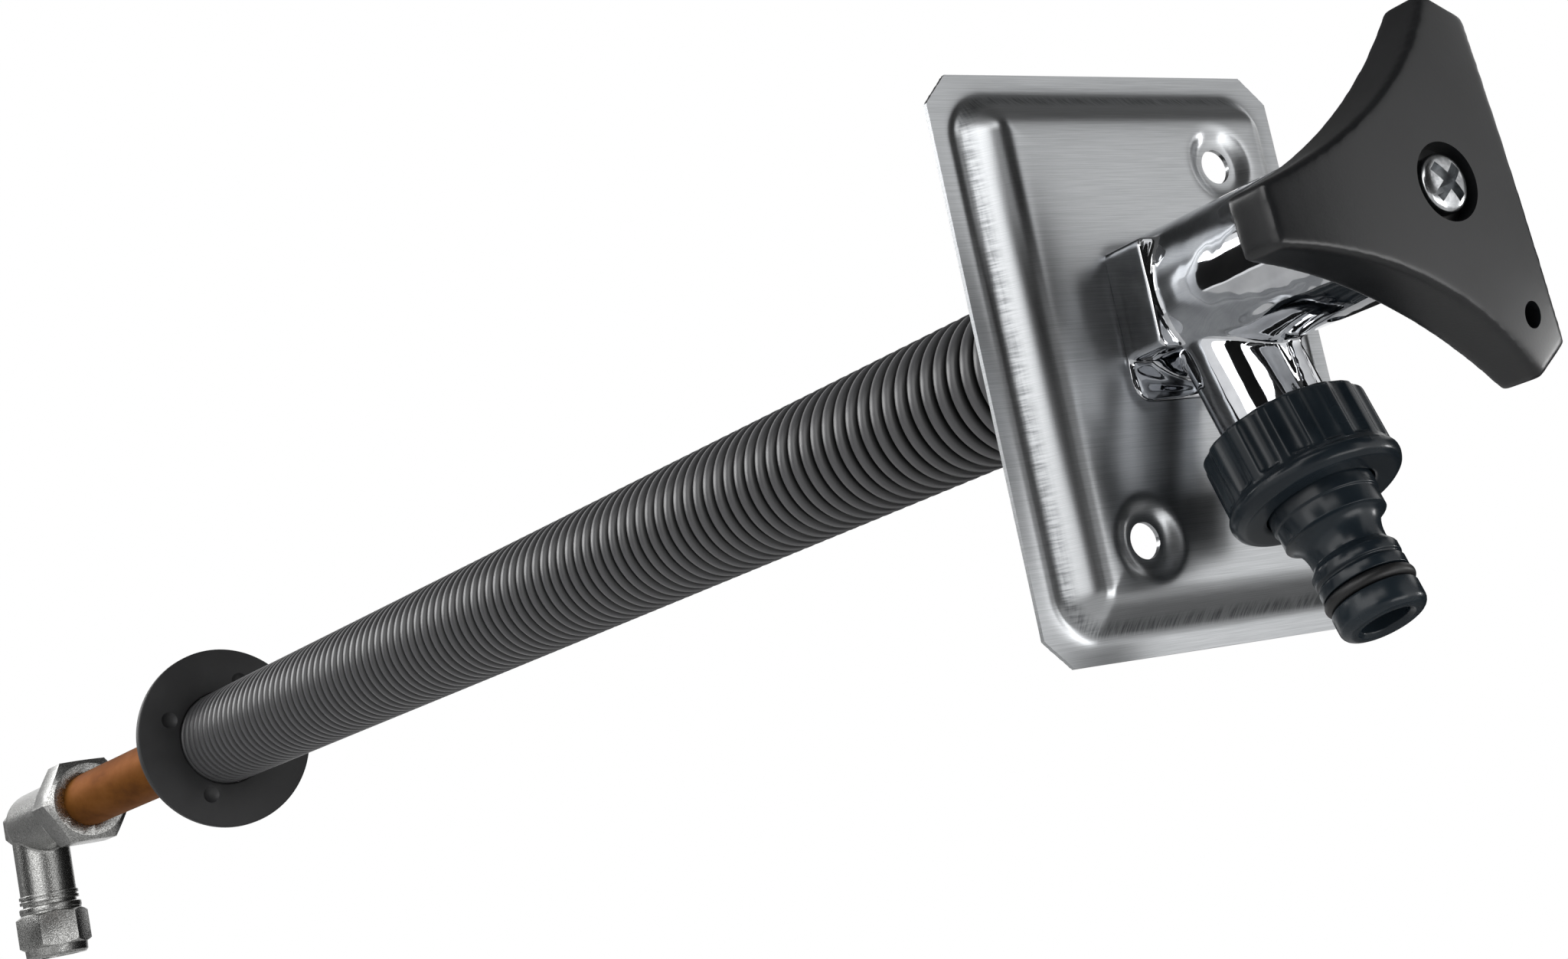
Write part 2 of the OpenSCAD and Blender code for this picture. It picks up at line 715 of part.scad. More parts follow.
module carrier_guide() {
    hole = carrier_square + 4 * running_gap;
    color(brass) on_axis(guide_y) difference() {
        cylinder(d = tube_bush_d, h = guide_len);
        translate([-hole / 2, -hole / 2, -eps]) cube([hole, hole, guide_len + 2 * eps]);
        for (a = [0:90:270]) rotate(a) translate([tube_bush_d / 2 + free_gap, 0, -eps])
            cylinder(d = guide_way_d, h = guide_len + 2 * eps);
    }
}

module valve_carrier() {
    color(brass) on_axis(carrier_y) difference() {
        union() {
            cylinder(d = carrier_head_d, h = carrier_head_t);
            translate([-carrier_square / 2, -carrier_square / 2, -carrier_shank])
                cube([carrier_square, carrier_square, carrier_shank + eps]);
        }
        translate([0, 0, -carrier_shank - eps])
            cylinder(d = drive_screw_d + 2 * running_gap, h = carrier_bore_depth + eps);
        translate([0, 0, -washer_screw_reach - face_gap])
            cylinder(d = washer_screw_d + 2 * fit_gap, h = washer_screw_reach + carrier_head_t + 2 * face_gap);
    }
}

module seat_washer() {
    color(black_rubber) on_axis(carrier_y + carrier_head_t)
        ring(seat_d + 3 * seat_lip_w, washer_screw_d + 2 * fit_gap, washer_t);
}

module washer_screw() {
    shank = washer_t + carrier_head_t + washer_screw_reach;
    color(brass) on_axis(carrier_y + carrier_head_t + washer_t) {
        cylinder(d = washer_screw_head_d, h = washer_screw_head_h);
        translate([0, 0, -shank]) cylinder(d = washer_screw_d, h = shank + eps);
    }
}

module valve_seat() {
    color(brass) on_axis(seat_y) difference() {
        union() {
            cylinder(d = seat_d + 2 * seat_lip_w, h = seat_lip_h + eps);
            translate([0, 0, seat_lip_h]) cylinder(d = tube_bush_d, h = seat_len);
        }
        translate([0, 0, -eps]) cylinder(d = seat_d, h = seat_len + seat_lip_h + 2 * eps);
    }
}

module copper_tube() {
    color("#a5613a") on_axis(tube_front_y) ring(tube_d, tube_bore_d, tube_back_y - tube_front_y);
}

module sleeve() {
    crest = sleeve_d / 2;
    root = crest - groove_depth;
    bore = sleeve_bore_d / 2;
    ribs = [for (i = [0:rib_count - 1]) each [
        [root, i * rib_pitch],
        [crest, i * rib_pitch + groove_w / 2],
        [crest, (i + 1) * rib_pitch - groove_w / 2]
    ]];
    color(black_plastic) on_axis(spigot_y) rotate_extrude()
        polygon(concat([[bore, 0]], ribs, [[root, sleeve_len], [bore, sleeve_len]]));
}

module rear_flange() {
    length = flange_t + flange_hub_len;
    color(black_plastic) on_axis(flange_front_y) difference() {
        union() {
            cylinder(d = flange_d, h = flange_t);
            cylinder(d = flange_hub_d, h = length);
        }
        translate([0, 0, -eps]) cylinder(d = sleeve_d + 2 * running_gap, h = length + 2 * eps);
        for (a = [0:90:270]) rotate(flange_dimple_phase + a) translate([flange_dimple_reach, 0, -eps])
            cylinder(d1 = flange_dimple_d, d2 = flange_dimple_d / 2, h = flange_dimple_depth + eps);
    }
}

// Everything that is cast and turned as the elbow, before it is bored.
module elbow_casting() {
    on_axis(elbow_thread_y) cylinder(d = elbow_thread_d, h = elbow_thread_len + eps);
    on_axis(elbow_shoulder_y) cylinder(d = elbow_shoulder_d, h = elbow_shoulder_len);
    on_axis(elbow_shoulder_y) cylinder(d = elbow_neck_d, h = elbow_y - elbow_shoulder_y);
    on_axis(elbow_y) sphere(d = elbow_neck_d);
    on_axis(elbow_y) rotate(22.5)
        cylinder(d = elbow_boss_af / cos(22.5), h = elbow_neck_d / 2 + elbow_boss_proud, $fn = 8);
    on_leg(0) cylinder(d = leg_d, h = leg_len);
    for (i = [0, 1]) on_leg(leg_len - leg_ring_h - i * (leg_ring_h + leg_ring_gap))
        cylinder(d = leg_d + 2 * leg_ring_proud, h = leg_ring_h);
    on_leg(leg_len - eps) cylinder(d = leg_thread_d, h = leg_thread_end - leg_len + eps);
}

module elbow_body() {
    supply_len = leg_thread_end - leg_len + supply_depth;
    color(nickel) difference() {
        elbow_casting();
        on_axis(elbow_thread_y - eps) cylinder(d = tube_hole_d, h = tube_depth + face_gap + eps);
        on_axis(tube_back_y) cylinder(d = waterway_d, h = elbow_y - tube_back_y);
        on_axis(elbow_y) sphere(d = waterway_d);
        on_leg(0) cylinder(d = leg_waterway_d, h = leg_len);
        on_leg(leg_len - supply_depth) cylinder(d = supply_hole_d, h = supply_len + eps);
    }
}

module elbow_nut_large() {
    color(nickel) on_axis(nut_face_y) difference() {
        hex_nut(large_nut_af, large_nut_len, large_nut_chamfer);
        translate([0, 0, -eps]) cylinder(d = tube_hole_d, h = large_nut_len);
        translate([0, 0, nut_lip_t]) cylinder(d = elbow_thread_d + 2 * fit_gap, h = large_nut_len);
    }
}

module elbow_nut_small() {
    hex_top = small_nut_collar_h - small_nut_chamfer;
    color(nickel) on_leg(small_nut_top) difference() {
        union() {
            cylinder(d = small_nut_af, h = small_nut_collar_h);
            translate([0, 0, hex_top]) hex_nut(small_nut_af, small_nut_len - hex_top, small_nut_chamfer);
        }
        translate([0, 0, -eps]) cylinder(d = leg_thread_d + 2 * fit_gap, h = small_nut_len - nut_lip_t + eps);
        cylinder(d = supply_hole_d, h = small_nut_len + eps);
    }
}

// A barrel-shaped compression ring round a pipe.
module olive(hole_d) {
    edge = olive_t * 0.4;
    third = olive_len / 3;
    rotate_extrude() translate([hole_d / 2, 0]) polygon([
        [0, 0], [edge, 0], [olive_t, third], [olive_t, 2 * third], [edge, olive_len], [0, olive_len]
    ]);
}

module olive_large() {
    color(brass) on_axis(nut_face_y + nut_lip_t + face_gap) olive(tube_hole_d);
}

module olive_small() {
    color(brass) on_leg(leg_thread_end + face_gap) olive(supply_hole_d);
}

module hose_nut() {
    body_h = nut_h - nut_lip_h;
    r = nut_d / 2;
    lip_r = nut_lip_d / 2;
    edge = nut_lip_h / 4;
    color(dark_plastic) on_spout(nut_top) difference() {
        union() {
            difference() {
                rotate_extrude()
                    polygon([[0, 0], [r - edge, 0], [r, edge], [r, body_h + eps], [0, body_h + eps]]);
                for (i = [0:flute_count - 1]) rotate(i * 360 / flute_count)
                    translate([r - flute_depth + flute_r, 0, -eps]) cylinder(r = flute_r, h = body_h + 2 * eps);
            }
            translate([0, 0, body_h]) rotate_extrude() polygon([
                [0, 0], [r, 0], [lip_r, edge], [lip_r, 2.5 * edge],
                [lip_r - edge / 2, 3.5 * edge], [lip_r - 1.5 * edge, 4 * edge], [0, 4 * edge]
            ]);
        }
        translate([0, 0, -eps]) cylinder(d = thread_d + 2 * running_gap, h = nut_floor - nut_top + eps);
        cylinder(d = nose_shoulder_d + 2 * free_gap, h = nut_h + eps);
    }
}

// The nose's outline from its flange to its tip, as radius and place along the spout.
function nose_outline() =
    let (
        shoulder_end = nut_bottom + nose_shoulder_len,
        waist = nut_bottom + nose_waist_drop,
        collar = nut_bottom + nose_collar_drop,
        flange_end = nose_top + nose_flange_t,
        shoulder_r = nose_shoulder_d / 2,
        waist_r = nose_waist_d / 2,
        r = nose_d / 2,
        groove_r = ring_groove_d / 2,
        round_r = nose_tip_round,
        bow = [for (t = [0:0.25:1]) [
            waist_r + (shoulder_r - waist_r) * (1 + cos(180 * t)) / 2,
            shoulder_end + (waist - shoulder_end) * t
        ]],
        tip = [for (a = [0:22.5:90]) [r - round_r + round_r * cos(a), nose_tip - round_r + round_r * sin(a)]]
    )
    concat(
        [[nose_flange_d / 2, nose_top], [nose_flange_d / 2, flange_end], [shoulder_r, flange_end]],
        bow,
        [[waist_r, collar - (r - waist_r)], [r, collar], [r, ring_groove_top], [groove_r, ring_groove_top]],
        [[groove_r, ring_groove_end], [r, ring_groove_end]],
        tip
    );

module hose_nose() {
    bore_r = nose_bore_d / 2;
    color(dark_plastic) on_spout(0) rotate_extrude()
        polygon(concat([[bore_r, nose_top]], nose_outline(), [[bore_r, nose_tip]]));
}

module nose_oring() {
    color(black_rubber) on_spout((ring_groove_top + ring_groove_end) / 2)
        torus(ring_groove_d + nose_ring_t + 2 * fit_gap, nose_ring_t);
}

module hose_washer() {
    color(black_rubber) on_spout(thread_end + face_gap) ring(nose_flange_d, check_d, hose_washer_t);
}

module check_housing() {
    color("#e4e2da") on_spout(check_top) difference() {
        cylinder(d = check_d, h = check_len);
        translate([0, 0, -eps]) cylinder(d = check_seat_d, h = check_len);
        translate([0, 0, poppet_t]) cylinder(d = check_d - 2 * check_wall, h = check_len);
    }
}

module check_poppet() {
    color("#3a3f8f") on_spout(poppet_top) {
        cylinder(d = poppet_d, h = poppet_t);
        cylinder(d = poppet_stem_d, h = retainer_top + retainer_t + face_gap - poppet_top);
    }
}

module check_retainer() {
    inner_d = check_d - 2 * check_wall;
    color("#e4e2da") on_spout(retainer_top) difference() {
        ring(inner_d - 2 * fit_gap, poppet_stem_d + 2 * running_gap, retainer_t);
        for (a = [0:120:240]) rotate(a) translate([(inner_d + poppet_stem_d) / 4, 0, -eps])
            cylinder(d = retainer_hole_d, h = retainer_t + 2 * eps);
    }
}

// Corners of one ring of a coil's wire, round its point at angle a and height z.
function wire_ring(r, a, z, wire_r, sides) = [for (k = [0:sides - 1])
    let (w = 360 * k / sides, q = r + wire_r * cos(w)) [q * cos(a), q * sin(a), z + wire_r * sin(w)]];

module check_spring() {
    sides = 6;
    steps = 8 * spring_curls;
    wire_r = spring_wire_d / 2;
    low = spring_top + wire_r;
    rise = spring_bottom - spring_top - spring_wire_d;
    points = [for (i = [0:steps])
        each wire_ring(spring_d / 2, 360 * spring_curls * i / steps, low + rise * i / steps, wire_r, sides)];
    skin = [for (i = [0:steps - 1], k = [0:sides - 1], half = [0, 1])
        let (a = i * sides + k, b = i * sides + (k + 1) % sides)
        half == 0 ? [a, b, b + sides] : [a, b + sides, a + sides]];
    last = steps * sides;
    first_cap = [for (k = [1:sides - 2]) [0, k + 1, k]];
    last_cap = [for (k = [1:sides - 2]) [last, last + k, last + k + 1]];
    color(steel) on_spout(0) polyhedron(points, concat(skin, first_cap, last_cap));
}

// The two-dimensional star of the handle, its first arm along +X.
module star() {
    half = arm_end_w / 2;
    corners = [for (a = [0:120:240], side = [-1, 1])
        [arm_reach * cos(a) - side * half * sin(a), arm_reach * sin(a) + side * half * cos(a)]];
    difference() {
        polygon(corners);
        for (a = [60:120:300]) rotate(a) translate([side_chord - side_hollow + side_r, 0])
            circle(r = side_r, $fn = 128);
    }
}

module handle() {
    hole = drive_square + 2 * fit_gap;
    color(black_plastic) facing_front(handle_y) difference() {
        intersection() {
            rotate(handle_phase) linear_extrude(handle_front + eps) star();
            translate([0, 0, handle_front - dome_r]) sphere(r = dome_r, $fn = 128);
        }
        translate([0, 0, recess_floor]) cylinder(d = recess_d, h = recess_depth + eps);
        translate([-hole / 2, -hole / 2, -eps]) cube([hole, hole, drive_len + face_gap + eps]);
        cylinder(d = handle_screw_d + 2 * free_gap, h = handle_front);
        rotate(handle_phase - 120) translate([arm_hole_reach, 0, -eps])
            cylinder(d = arm_hole_d, h = handle_front + 2 * eps);
    }
}

module handle_screw() {
    rim_h = screw_head_h / 2;
    slot_w = screw_head_d / 8;
    color("#d0d2d4") facing_front(handle_y) difference() {
        union() {
            cylinder(d = handle_screw_d - 2 * fit_gap, h = recess_floor + eps);
            translate([0, 0, recess_floor]) cylinder(d = screw_head_d, h = rim_h);
            translate([0, 0, recess_floor + rim_h])
                cylinder(d1 = screw_head_d, d2 = screw_head_d - 2 * rim_h, h = screw_head_h - rim_h);
        }
        for (a = [0, 90]) rotate(handle_phase + a) translate([0, 0, recess_floor + screw_head_h])
            cube([screw_head_d / 2, slot_w, screw_head_h], center = true);
    }
}

wall_plate();
tap_body();
set_screw();
bonnet();
gland_orings();
thrust_washer();
handle();
handle_screw();
spindle();
operating_rod();
rod_pins();
rod_guides();
drive_screw();
carrier_guide();
valve_carrier();
seat_washer();
washer_screw();
valve_seat();
copper_tube();
sleeve();
rear_flange();
elbow_body();
elbow_nut_large();
elbow_nut_small();
olive_large();
olive_small();
hose_nut();
hose_nose();
nose_oring();
hose_washer();
check_housing();
check_poppet();
check_spring();
check_retainer();
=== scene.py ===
# %% [markdown]
# # A frost free sillcock
# An outdoor tap for a cold wall. A pressed steel plate carries a chromed body with a black star
# handle and a hose connector. Behind the wall run a ribbed sleeve and a copper tube, and an elbow
# takes the supply pipe. The CAD frame gives every piece its size and place, and this lesson gives
# the pieces that show their forms and finishes. Sizes in the code are millimetres times MM.

# %% Load the CAD frame
import math
import bmesh
import bpy
from mathutils import Matrix, Vector


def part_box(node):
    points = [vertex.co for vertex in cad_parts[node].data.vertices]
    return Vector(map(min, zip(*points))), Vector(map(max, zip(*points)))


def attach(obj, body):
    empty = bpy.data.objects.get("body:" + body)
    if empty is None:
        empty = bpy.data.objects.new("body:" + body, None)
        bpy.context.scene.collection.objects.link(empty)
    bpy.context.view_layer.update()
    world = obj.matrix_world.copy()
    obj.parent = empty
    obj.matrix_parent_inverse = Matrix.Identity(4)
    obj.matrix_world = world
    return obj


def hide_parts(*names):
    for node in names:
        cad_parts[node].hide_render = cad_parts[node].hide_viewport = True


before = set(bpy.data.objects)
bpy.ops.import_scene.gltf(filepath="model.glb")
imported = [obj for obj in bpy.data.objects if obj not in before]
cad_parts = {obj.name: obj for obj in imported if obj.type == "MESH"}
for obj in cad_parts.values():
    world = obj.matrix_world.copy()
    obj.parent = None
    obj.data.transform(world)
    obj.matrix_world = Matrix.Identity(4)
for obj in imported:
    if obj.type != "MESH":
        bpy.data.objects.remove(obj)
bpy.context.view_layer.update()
MM = 0.001

# %% [markdown]
# ## Camera
# The picture is taken from close by, from below and from the tap's left, so the tube shrinks away
# towards the lower left corner. The camera's place and its two directions were worked out from
# the plate's corners and the sleeve's outline. A lens of about 60 mm gives the same narrowing.

# %% Camera
camera_data = bpy.data.cameras.new("camera")
camera_data.sensor_width = 36
camera_data.lens = 59.5
camera = bpy.data.objects.new("camera", camera_data)
bpy.context.scene.collection.objects.link(camera)
camera_place = Vector((-0.36, -0.3746, -0.0926))
looks_along = Vector((0.562, 0.8117, 0.1592)).normalized()
looks_up = Vector((0.0766, -0.2427, 0.9671)).normalized()
to_the_right = looks_along.cross(looks_up)
camera_turn = Matrix((to_the_right, looks_up, -looks_along)).transposed().to_4x4()
camera.matrix_world = Matrix.Translation(camera_place) @ camera_turn
bpy.context.scene.camera = camera
bpy.context.scene.view_settings.view_transform = "Standard"
print("lens:", camera_data.lens, "mm")

# %% [markdown]
# ## Tools for modelling
# Operators act on whatever is selected, and loading the frame leaves its nodes selected, so each
# step first deselects everything. A finished piece keeps its object at the origin, unturned and
# unscaled, and has its place in its mesh, as the CAD nodes have.

# %% Tools for modelling
def select_only(piece=None):
    if bpy.context.mode != "OBJECT":
        bpy.ops.object.mode_set(mode="OBJECT")
    bpy.ops.object.select_all(action="DESELECT")
    if piece:
        piece.select_set(True)
        bpy.context.view_layer.objects.active = piece


def named(name):
    bpy.context.object.name = name
    bpy.context.object.data.name = name
    return bpy.context.object


def edit(piece):
    select_only(piece)
    bpy.ops.object.mode_set(mode="EDIT")
    bpy.ops.mesh.select_all(action="SELECT")


def put(piece, matrix):
    select_only(piece)
    piece.matrix_world = matrix @ piece.matrix_world
    bpy.ops.object.transform_apply(location=True, rotation=True, scale=True)
    return piece


def apply_modifier(piece, kind, **settings):
    select_only(piece)
    modifier = piece.modifiers.new(kind.lower(), kind)
    for name, value in settings.items():
        setattr(modifier, name, value)
    bpy.ops.object.modifier_apply(modifier=modifier.name)


print("tools for modelling")

# %% [markdown]
# ## Directions on the tap
# The pieces lie along three lines: the tap's level axis, the leaning spout and the elbow's leg.
# Each tool gives the place at a distance along its line, with Z turned to run along the line. The
# axis has two tools, because some pieces point out of the wall and some into it.

# %% Directions on the tap
AXIS_Z = 8.5
SPOUT_Y = -12
SPOUT_TILT = 19.5
supply_low, supply_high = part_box("elbow_nut_small")
ELBOW_Y = (supply_low[1] + supply_high[1]) / 2 / MM


def out_of_wall(y):
    return Matrix.Translation((0, y * MM, AXIS_Z * MM)) @ Matrix.Rotation(math.radians(90), 4, "X")


def into_wall(y):
    return Matrix.Translation((0, y * MM, AXIS_Z * MM)) @ Matrix.Rotation(math.radians(-90), 4, "X")


def down_spout(s):
    start = Matrix.Translation((0, SPOUT_Y * MM, AXIS_Z * MM))
    turn = Matrix.Rotation(math.radians(180 - SPOUT_TILT), 4, "X")
    return start @ turn @ Matrix.Translation((0, 0, s * MM))


def down_leg(s):
    return Matrix.Translation((0, ELBOW_Y * MM, (AXIS_Z - s) * MM)) @ Matrix.Rotation(math.pi, 4, "X")


print("the spout leans", SPOUT_TILT, "degrees, the elbow is at", round(ELBOW_Y, 1), "mm")

# %% [markdown]
# ## Tools for materials
# Colours are written as sRGB hex values, as a paint program shows them, and turned to the linear
# values that the shader wants. Every pattern reads Object coordinates, so its scale is a real size.

# %% Tools for materials
def linear(hex_colour):
    channels = [int(hex_colour[i:i + 2], 16) / 255 for i in (1, 3, 5)]
    bright = [c / 12.92 if c <= 0.04045 else ((c + 0.055) / 1.055) ** 2.4 for c in channels]
    return (*bright, 1)


def add_node(owner, kind, values=(), links=(), **settings):
    made = owner.node_tree.nodes.new(kind)
    for name, value in settings.items():
        setattr(made, name, value)
    for socket, value in dict(values).items():
        made.inputs[socket].default_value = value
    for socket, source in dict(links).items():
        owner.node_tree.links.new(source, made.inputs[socket])
    return made


def new_material(name, colour, metallic, roughness):
    material = bpy.data.materials.new(name)
    material.use_nodes = True
    shader = material.node_tree.nodes["Principled BSDF"]
    shader.inputs["Base Color"].default_value = linear(colour)
    shader.inputs["Metallic"].default_value = metallic
    shader.inputs["Roughness"].default_value = roughness
    return material, shader


def link(owner, source, target):
    owner.node_tree.links.new(source, target)


print("white is", linear("#ffffff"))

# %% [markdown]
# Most finishes come from a noise, whose lumps have a given size in metres, or one size for each
# axis. The noise becomes colours through a ramp, polish through a range, and relief through a
# bump. These three make up a finish.

# %% Tools for patterns
def object_place(owner):
    return add_node(owner, "ShaderNodeTexCoord").outputs["Object"]


def noise(owner, place, size, detail, roughness=0.5):
    pattern = add_node(owner, "ShaderNodeTexNoise", links={"Vector": place},
                       values={"Scale": 1 / size, "Detail": detail, "Roughness": roughness})
    return pattern.outputs["Fac"]


def drawn_out_noise(owner, place, sizes, detail, roughness=0.5):
    scale = [1 / size for size in sizes]
    drawn_out = add_node(owner, "ShaderNodeMapping", values={"Scale": scale}, links={"Vector": place})
    return noise(owner, drawn_out.outputs[0], 1, detail, roughness)


def tones(owner, pattern, *stops):
    ramp = add_node(owner, "ShaderNodeValToRGB", links={"Fac": pattern})
    elements = ramp.color_ramp.elements
    for end in (0, -1):
        place, colour = stops[end]
        elements[end].position = place
        elements[end].color = linear(colour)
    for place, colour in stops[1:-1]:
        elements.new(place).color = linear(colour)
    return ramp.outputs["Color"]


def spread(owner, pattern, low, high, start=0, end=1):
    made = add_node(owner, "ShaderNodeMapRange", links={"Value": pattern},
                    values={"From Min": start, "From Max": end, "To Min": low, "To Max": high})
    return made.outputs[0]


def bumps(owner, pattern, strength, distance, under=None):
    made = add_node(owner, "ShaderNodeBump", links={"Height": pattern},
                    values={"Strength": strength, "Distance": distance})
    if under is not None:
        link(owner, under, made.inputs["Normal"])
    return made.outputs[0]


def product(owner, a, b):
    return add_node(owner, "ShaderNodeMath", operation="MULTIPLY", links={0: a, 1: b}).outputs[0]


def dress(material, colour, polish, relief):
    shader = material.node_tree.nodes["Principled BSDF"]
    for socket, source in (("Base Color", colour), ("Roughness", polish), ("Normal", relief)):
        link(material, source, shader.inputs[socket])
    print("finish:", material.name)


print("tools for patterns")

# %% [markdown]
# ## Studio
# The object stands before white, and metal shows what stands round it. The world is white to the
# camera and in reflections, and gives a softer light to dull surfaces. Black, grey and pale flags
# and one glowing wall put the dark streaks into the chrome and the grey into the steel, as a
# photographer does with shiny things. A small flag close to the body darkens its cheek. The camera
# does not see the flags themselves, so the tap can be looked at from every side.

# %% White world and pale floor
world = bpy.data.worlds.new("studio")
bpy.context.scene.world = world
world.use_nodes = True
sky = world.node_tree.nodes["Background"]
sky.inputs["Color"].default_value = (1, 1, 1, 1)
rays = add_node(world, "ShaderNodeLightPath").outputs
seen_or_clear = add_node(world, "ShaderNodeMath", operation="MAXIMUM",
                         links={0: rays["Is Camera Ray"], 1: rays["Is Transmission Ray"]})
shows_white = add_node(world, "ShaderNodeMath", operation="MAXIMUM",
                       links={0: seen_or_clear.outputs[0], 1: rays["Is Glossy Ray"]})
DULL_LIGHT = 0.6
sky_strength = add_node(world, "ShaderNodeMath", operation="MULTIPLY_ADD",
                        values={1: 1 - DULL_LIGHT, 2: DULL_LIGHT}, links={0: shows_white.outputs[0]})
link(world, sky_strength.outputs[0], sky.inputs["Strength"])

select_only()
bpy.ops.mesh.primitive_plane_add(size=5, location=(0, 0.3, -0.75))
floor = named("floor")
floor.data.materials.append(new_material("pale floor paint", "#e8e8e8", 0, 0.8)[0])
print("floor at", floor.location.z, "m")


# %% Softboxes
def facing(place, target):
    direction = Vector(target) - Vector(place)
    return Matrix.Translation(place) @ direction.to_track_quat("-Z", "Y").to_matrix().to_4x4()


def softbox(name, place, target, width, height, watts):
    light = bpy.data.lights.new(name, "AREA")
    light.shape = "RECTANGLE"
    light.size = width
    light.size_y = height
    light.energy = watts
    lamp = bpy.data.objects.new(name, light)
    bpy.context.scene.collection.objects.link(lamp)
    lamp.matrix_world = facing(place, target)


TAP = (0, -0.03, 0)
NOSE = (0, -0.03, -0.05)
TUBE = (0, 0.4, 0)
softbox("key softbox", (-0.95, -0.4, 0.62), TAP, 1.6, 1.0, 10.5)
softbox("tube softbox", (-0.6, 1.1, 0.4), TUBE, 0.9, 0.4, 5.4)
softbox("low softbox", (0.15, -0.7, -0.3), TAP, 0.5, 0.25, 1.5)
softbox("handle softbox", (0.54, -0.8, 0.15), TAP, 0.16, 0.5, 1.4)
softbox("nose softbox", (0.8, -0.25, -0.1), NOSE, 0.12, 0.12, 1.1)
print("softboxes:", len(bpy.data.lights))


# %% Flags
def board(name, place, target, width, height, material):
    select_only()
    bpy.ops.mesh.primitive_plane_add(size=1)
    card = named(name)
    card.matrix_world = facing(place, target) @ Matrix.Diagonal((width, height, 1, 1))
    card.data.materials.append(material)
    card.visible_camera = False


flag_cloth = new_material("black flag cloth", "#080808", 0, 0.9)[0]
grey_cloth = new_material("grey flag cloth", "#6a6a6a", 0, 0.9)[0]
pale_cloth = new_material("pale flag cloth", "#b4b4b4", 0, 0.9)[0]
BODY_CHEEK = (-0.022, -0.003, 0.008)
PLATE_FOOT = (0, 0.02, -0.05)
UNDER_FLAG_ABOVE = (0.3, 0.3, 0)
REAR_TUBE = (0, 0.7, 0)
ELBOW = (0, 0.766, 0)
ELBOW_LEG = (0, 0.766, -0.02)
board("flag left of the camera", (-0.57, -0.84, 0.14), TAP, 0.5, 0.75, flag_cloth)
board("flag close to the body", (-0.064, -0.045, 0.018), BODY_CHEEK, 0.036, 0.07, flag_cloth)
board("flag in front", (0.02, -1.02, 0.14), TAP, 0.78, 1.0, flag_cloth)
board("flag over the front", (0.15, -0.85, 0.75), TAP, 0.9, 0.4, flag_cloth)
board("flag above", (0.3, 0.3, 0.8), UNDER_FLAG_ABOVE, 2.2, 2.0, grey_cloth)
board("flag low right", (0.17, 0.03, -0.24), PLATE_FOOT, 0.2, 0.2, grey_cloth)
board("flag right of the tap", (0.55, 0.1, -0.08), TAP, 0.6, 0.5, flag_cloth)
board("flag left of the tube", (-0.8, 0.9, 0.1), REAR_TUBE, 0.7, 0.6, flag_cloth)
board("flag right of the elbow", (0.42, 0.78, -0.02), ELBOW_LEG, 0.7, 0.5, flag_cloth)
board("flag behind the elbow", (-0.35, 1.6, 0.0), ELBOW, 1.0, 0.7, pale_cloth)

# %% Glowing wall
GLOW_LEFT, GLOW_RIGHT = 1.15, 0.3
GLOW_LOW, GLOW_TOP = 1.9, 0.74
wall_paint, wall_shader = new_material("grey studio wall", "#000000", 0, 0.9)
wall_sides = add_node(wall_paint, "ShaderNodeSeparateXYZ", links={"Vector": object_place(wall_paint)})
across = spread(wall_paint, wall_sides.outputs["X"], GLOW_LEFT, GLOW_RIGHT, -0.5, 0.5)
upward = spread(wall_paint, wall_sides.outputs["Y"], GLOW_LOW, GLOW_TOP, -0.5, 0.5)
wall_shader.inputs["Emission Color"].default_value = (1, 1, 1, 1)
link(wall_paint, product(wall_paint, across, upward), wall_shader.inputs["Emission Strength"])
board("grey wall", (0.66, -0.62, 0.14), TAP, 0.9, 1.0, wall_paint)
print("the wall fades from left to right and upwards")

# %% [markdown]
# ## Brushed stainless steel
# The plate is thin stainless sheet, brushed with an abrasive belt before it was pressed. The belt
# leaves fine level scratches, which smear every highlight upwards and downwards. The smear is the
# shader's anisotropy, with its tangent square to the scratches. Where the sheet slid over the
# die's edge, the foot of each slope keeps a band of short drag marks. They run across the edge, so
# one noise is drawn out sideways and one upright, and the surface's direction chooses between them.

# %% Brush lines
steel, steel_shader = new_material("brushed stainless steel", "#b9bbbd", 1, 0.3)
steel_place = object_place(steel)
LINE_LENGTH, LINE_HEIGHT = 12 * MM, 0.12 * MM
brush_lines = drawn_out_noise(steel, steel_place, (LINE_LENGTH, LINE_LENGTH, LINE_HEIGHT), 3, 0.65)
steel_tones = tones(steel, brush_lines, (0.3, "#a6a8aa"), (0.7, "#c2c4c6"))
steel_shader.inputs["Anisotropic"].default_value = 0.7
faces = add_node(steel, "ShaderNodeNewGeometry").outputs["Normal"]
upright = add_node(steel, "ShaderNodeVectorMath", operation="CROSS_PRODUCT",
                   values={1: (1, 0, 0)}, links={0: faces})
link(steel, upright.outputs[0], steel_shader.inputs["Tangent"])
print("brush lines every", LINE_HEIGHT / MM, "mm")

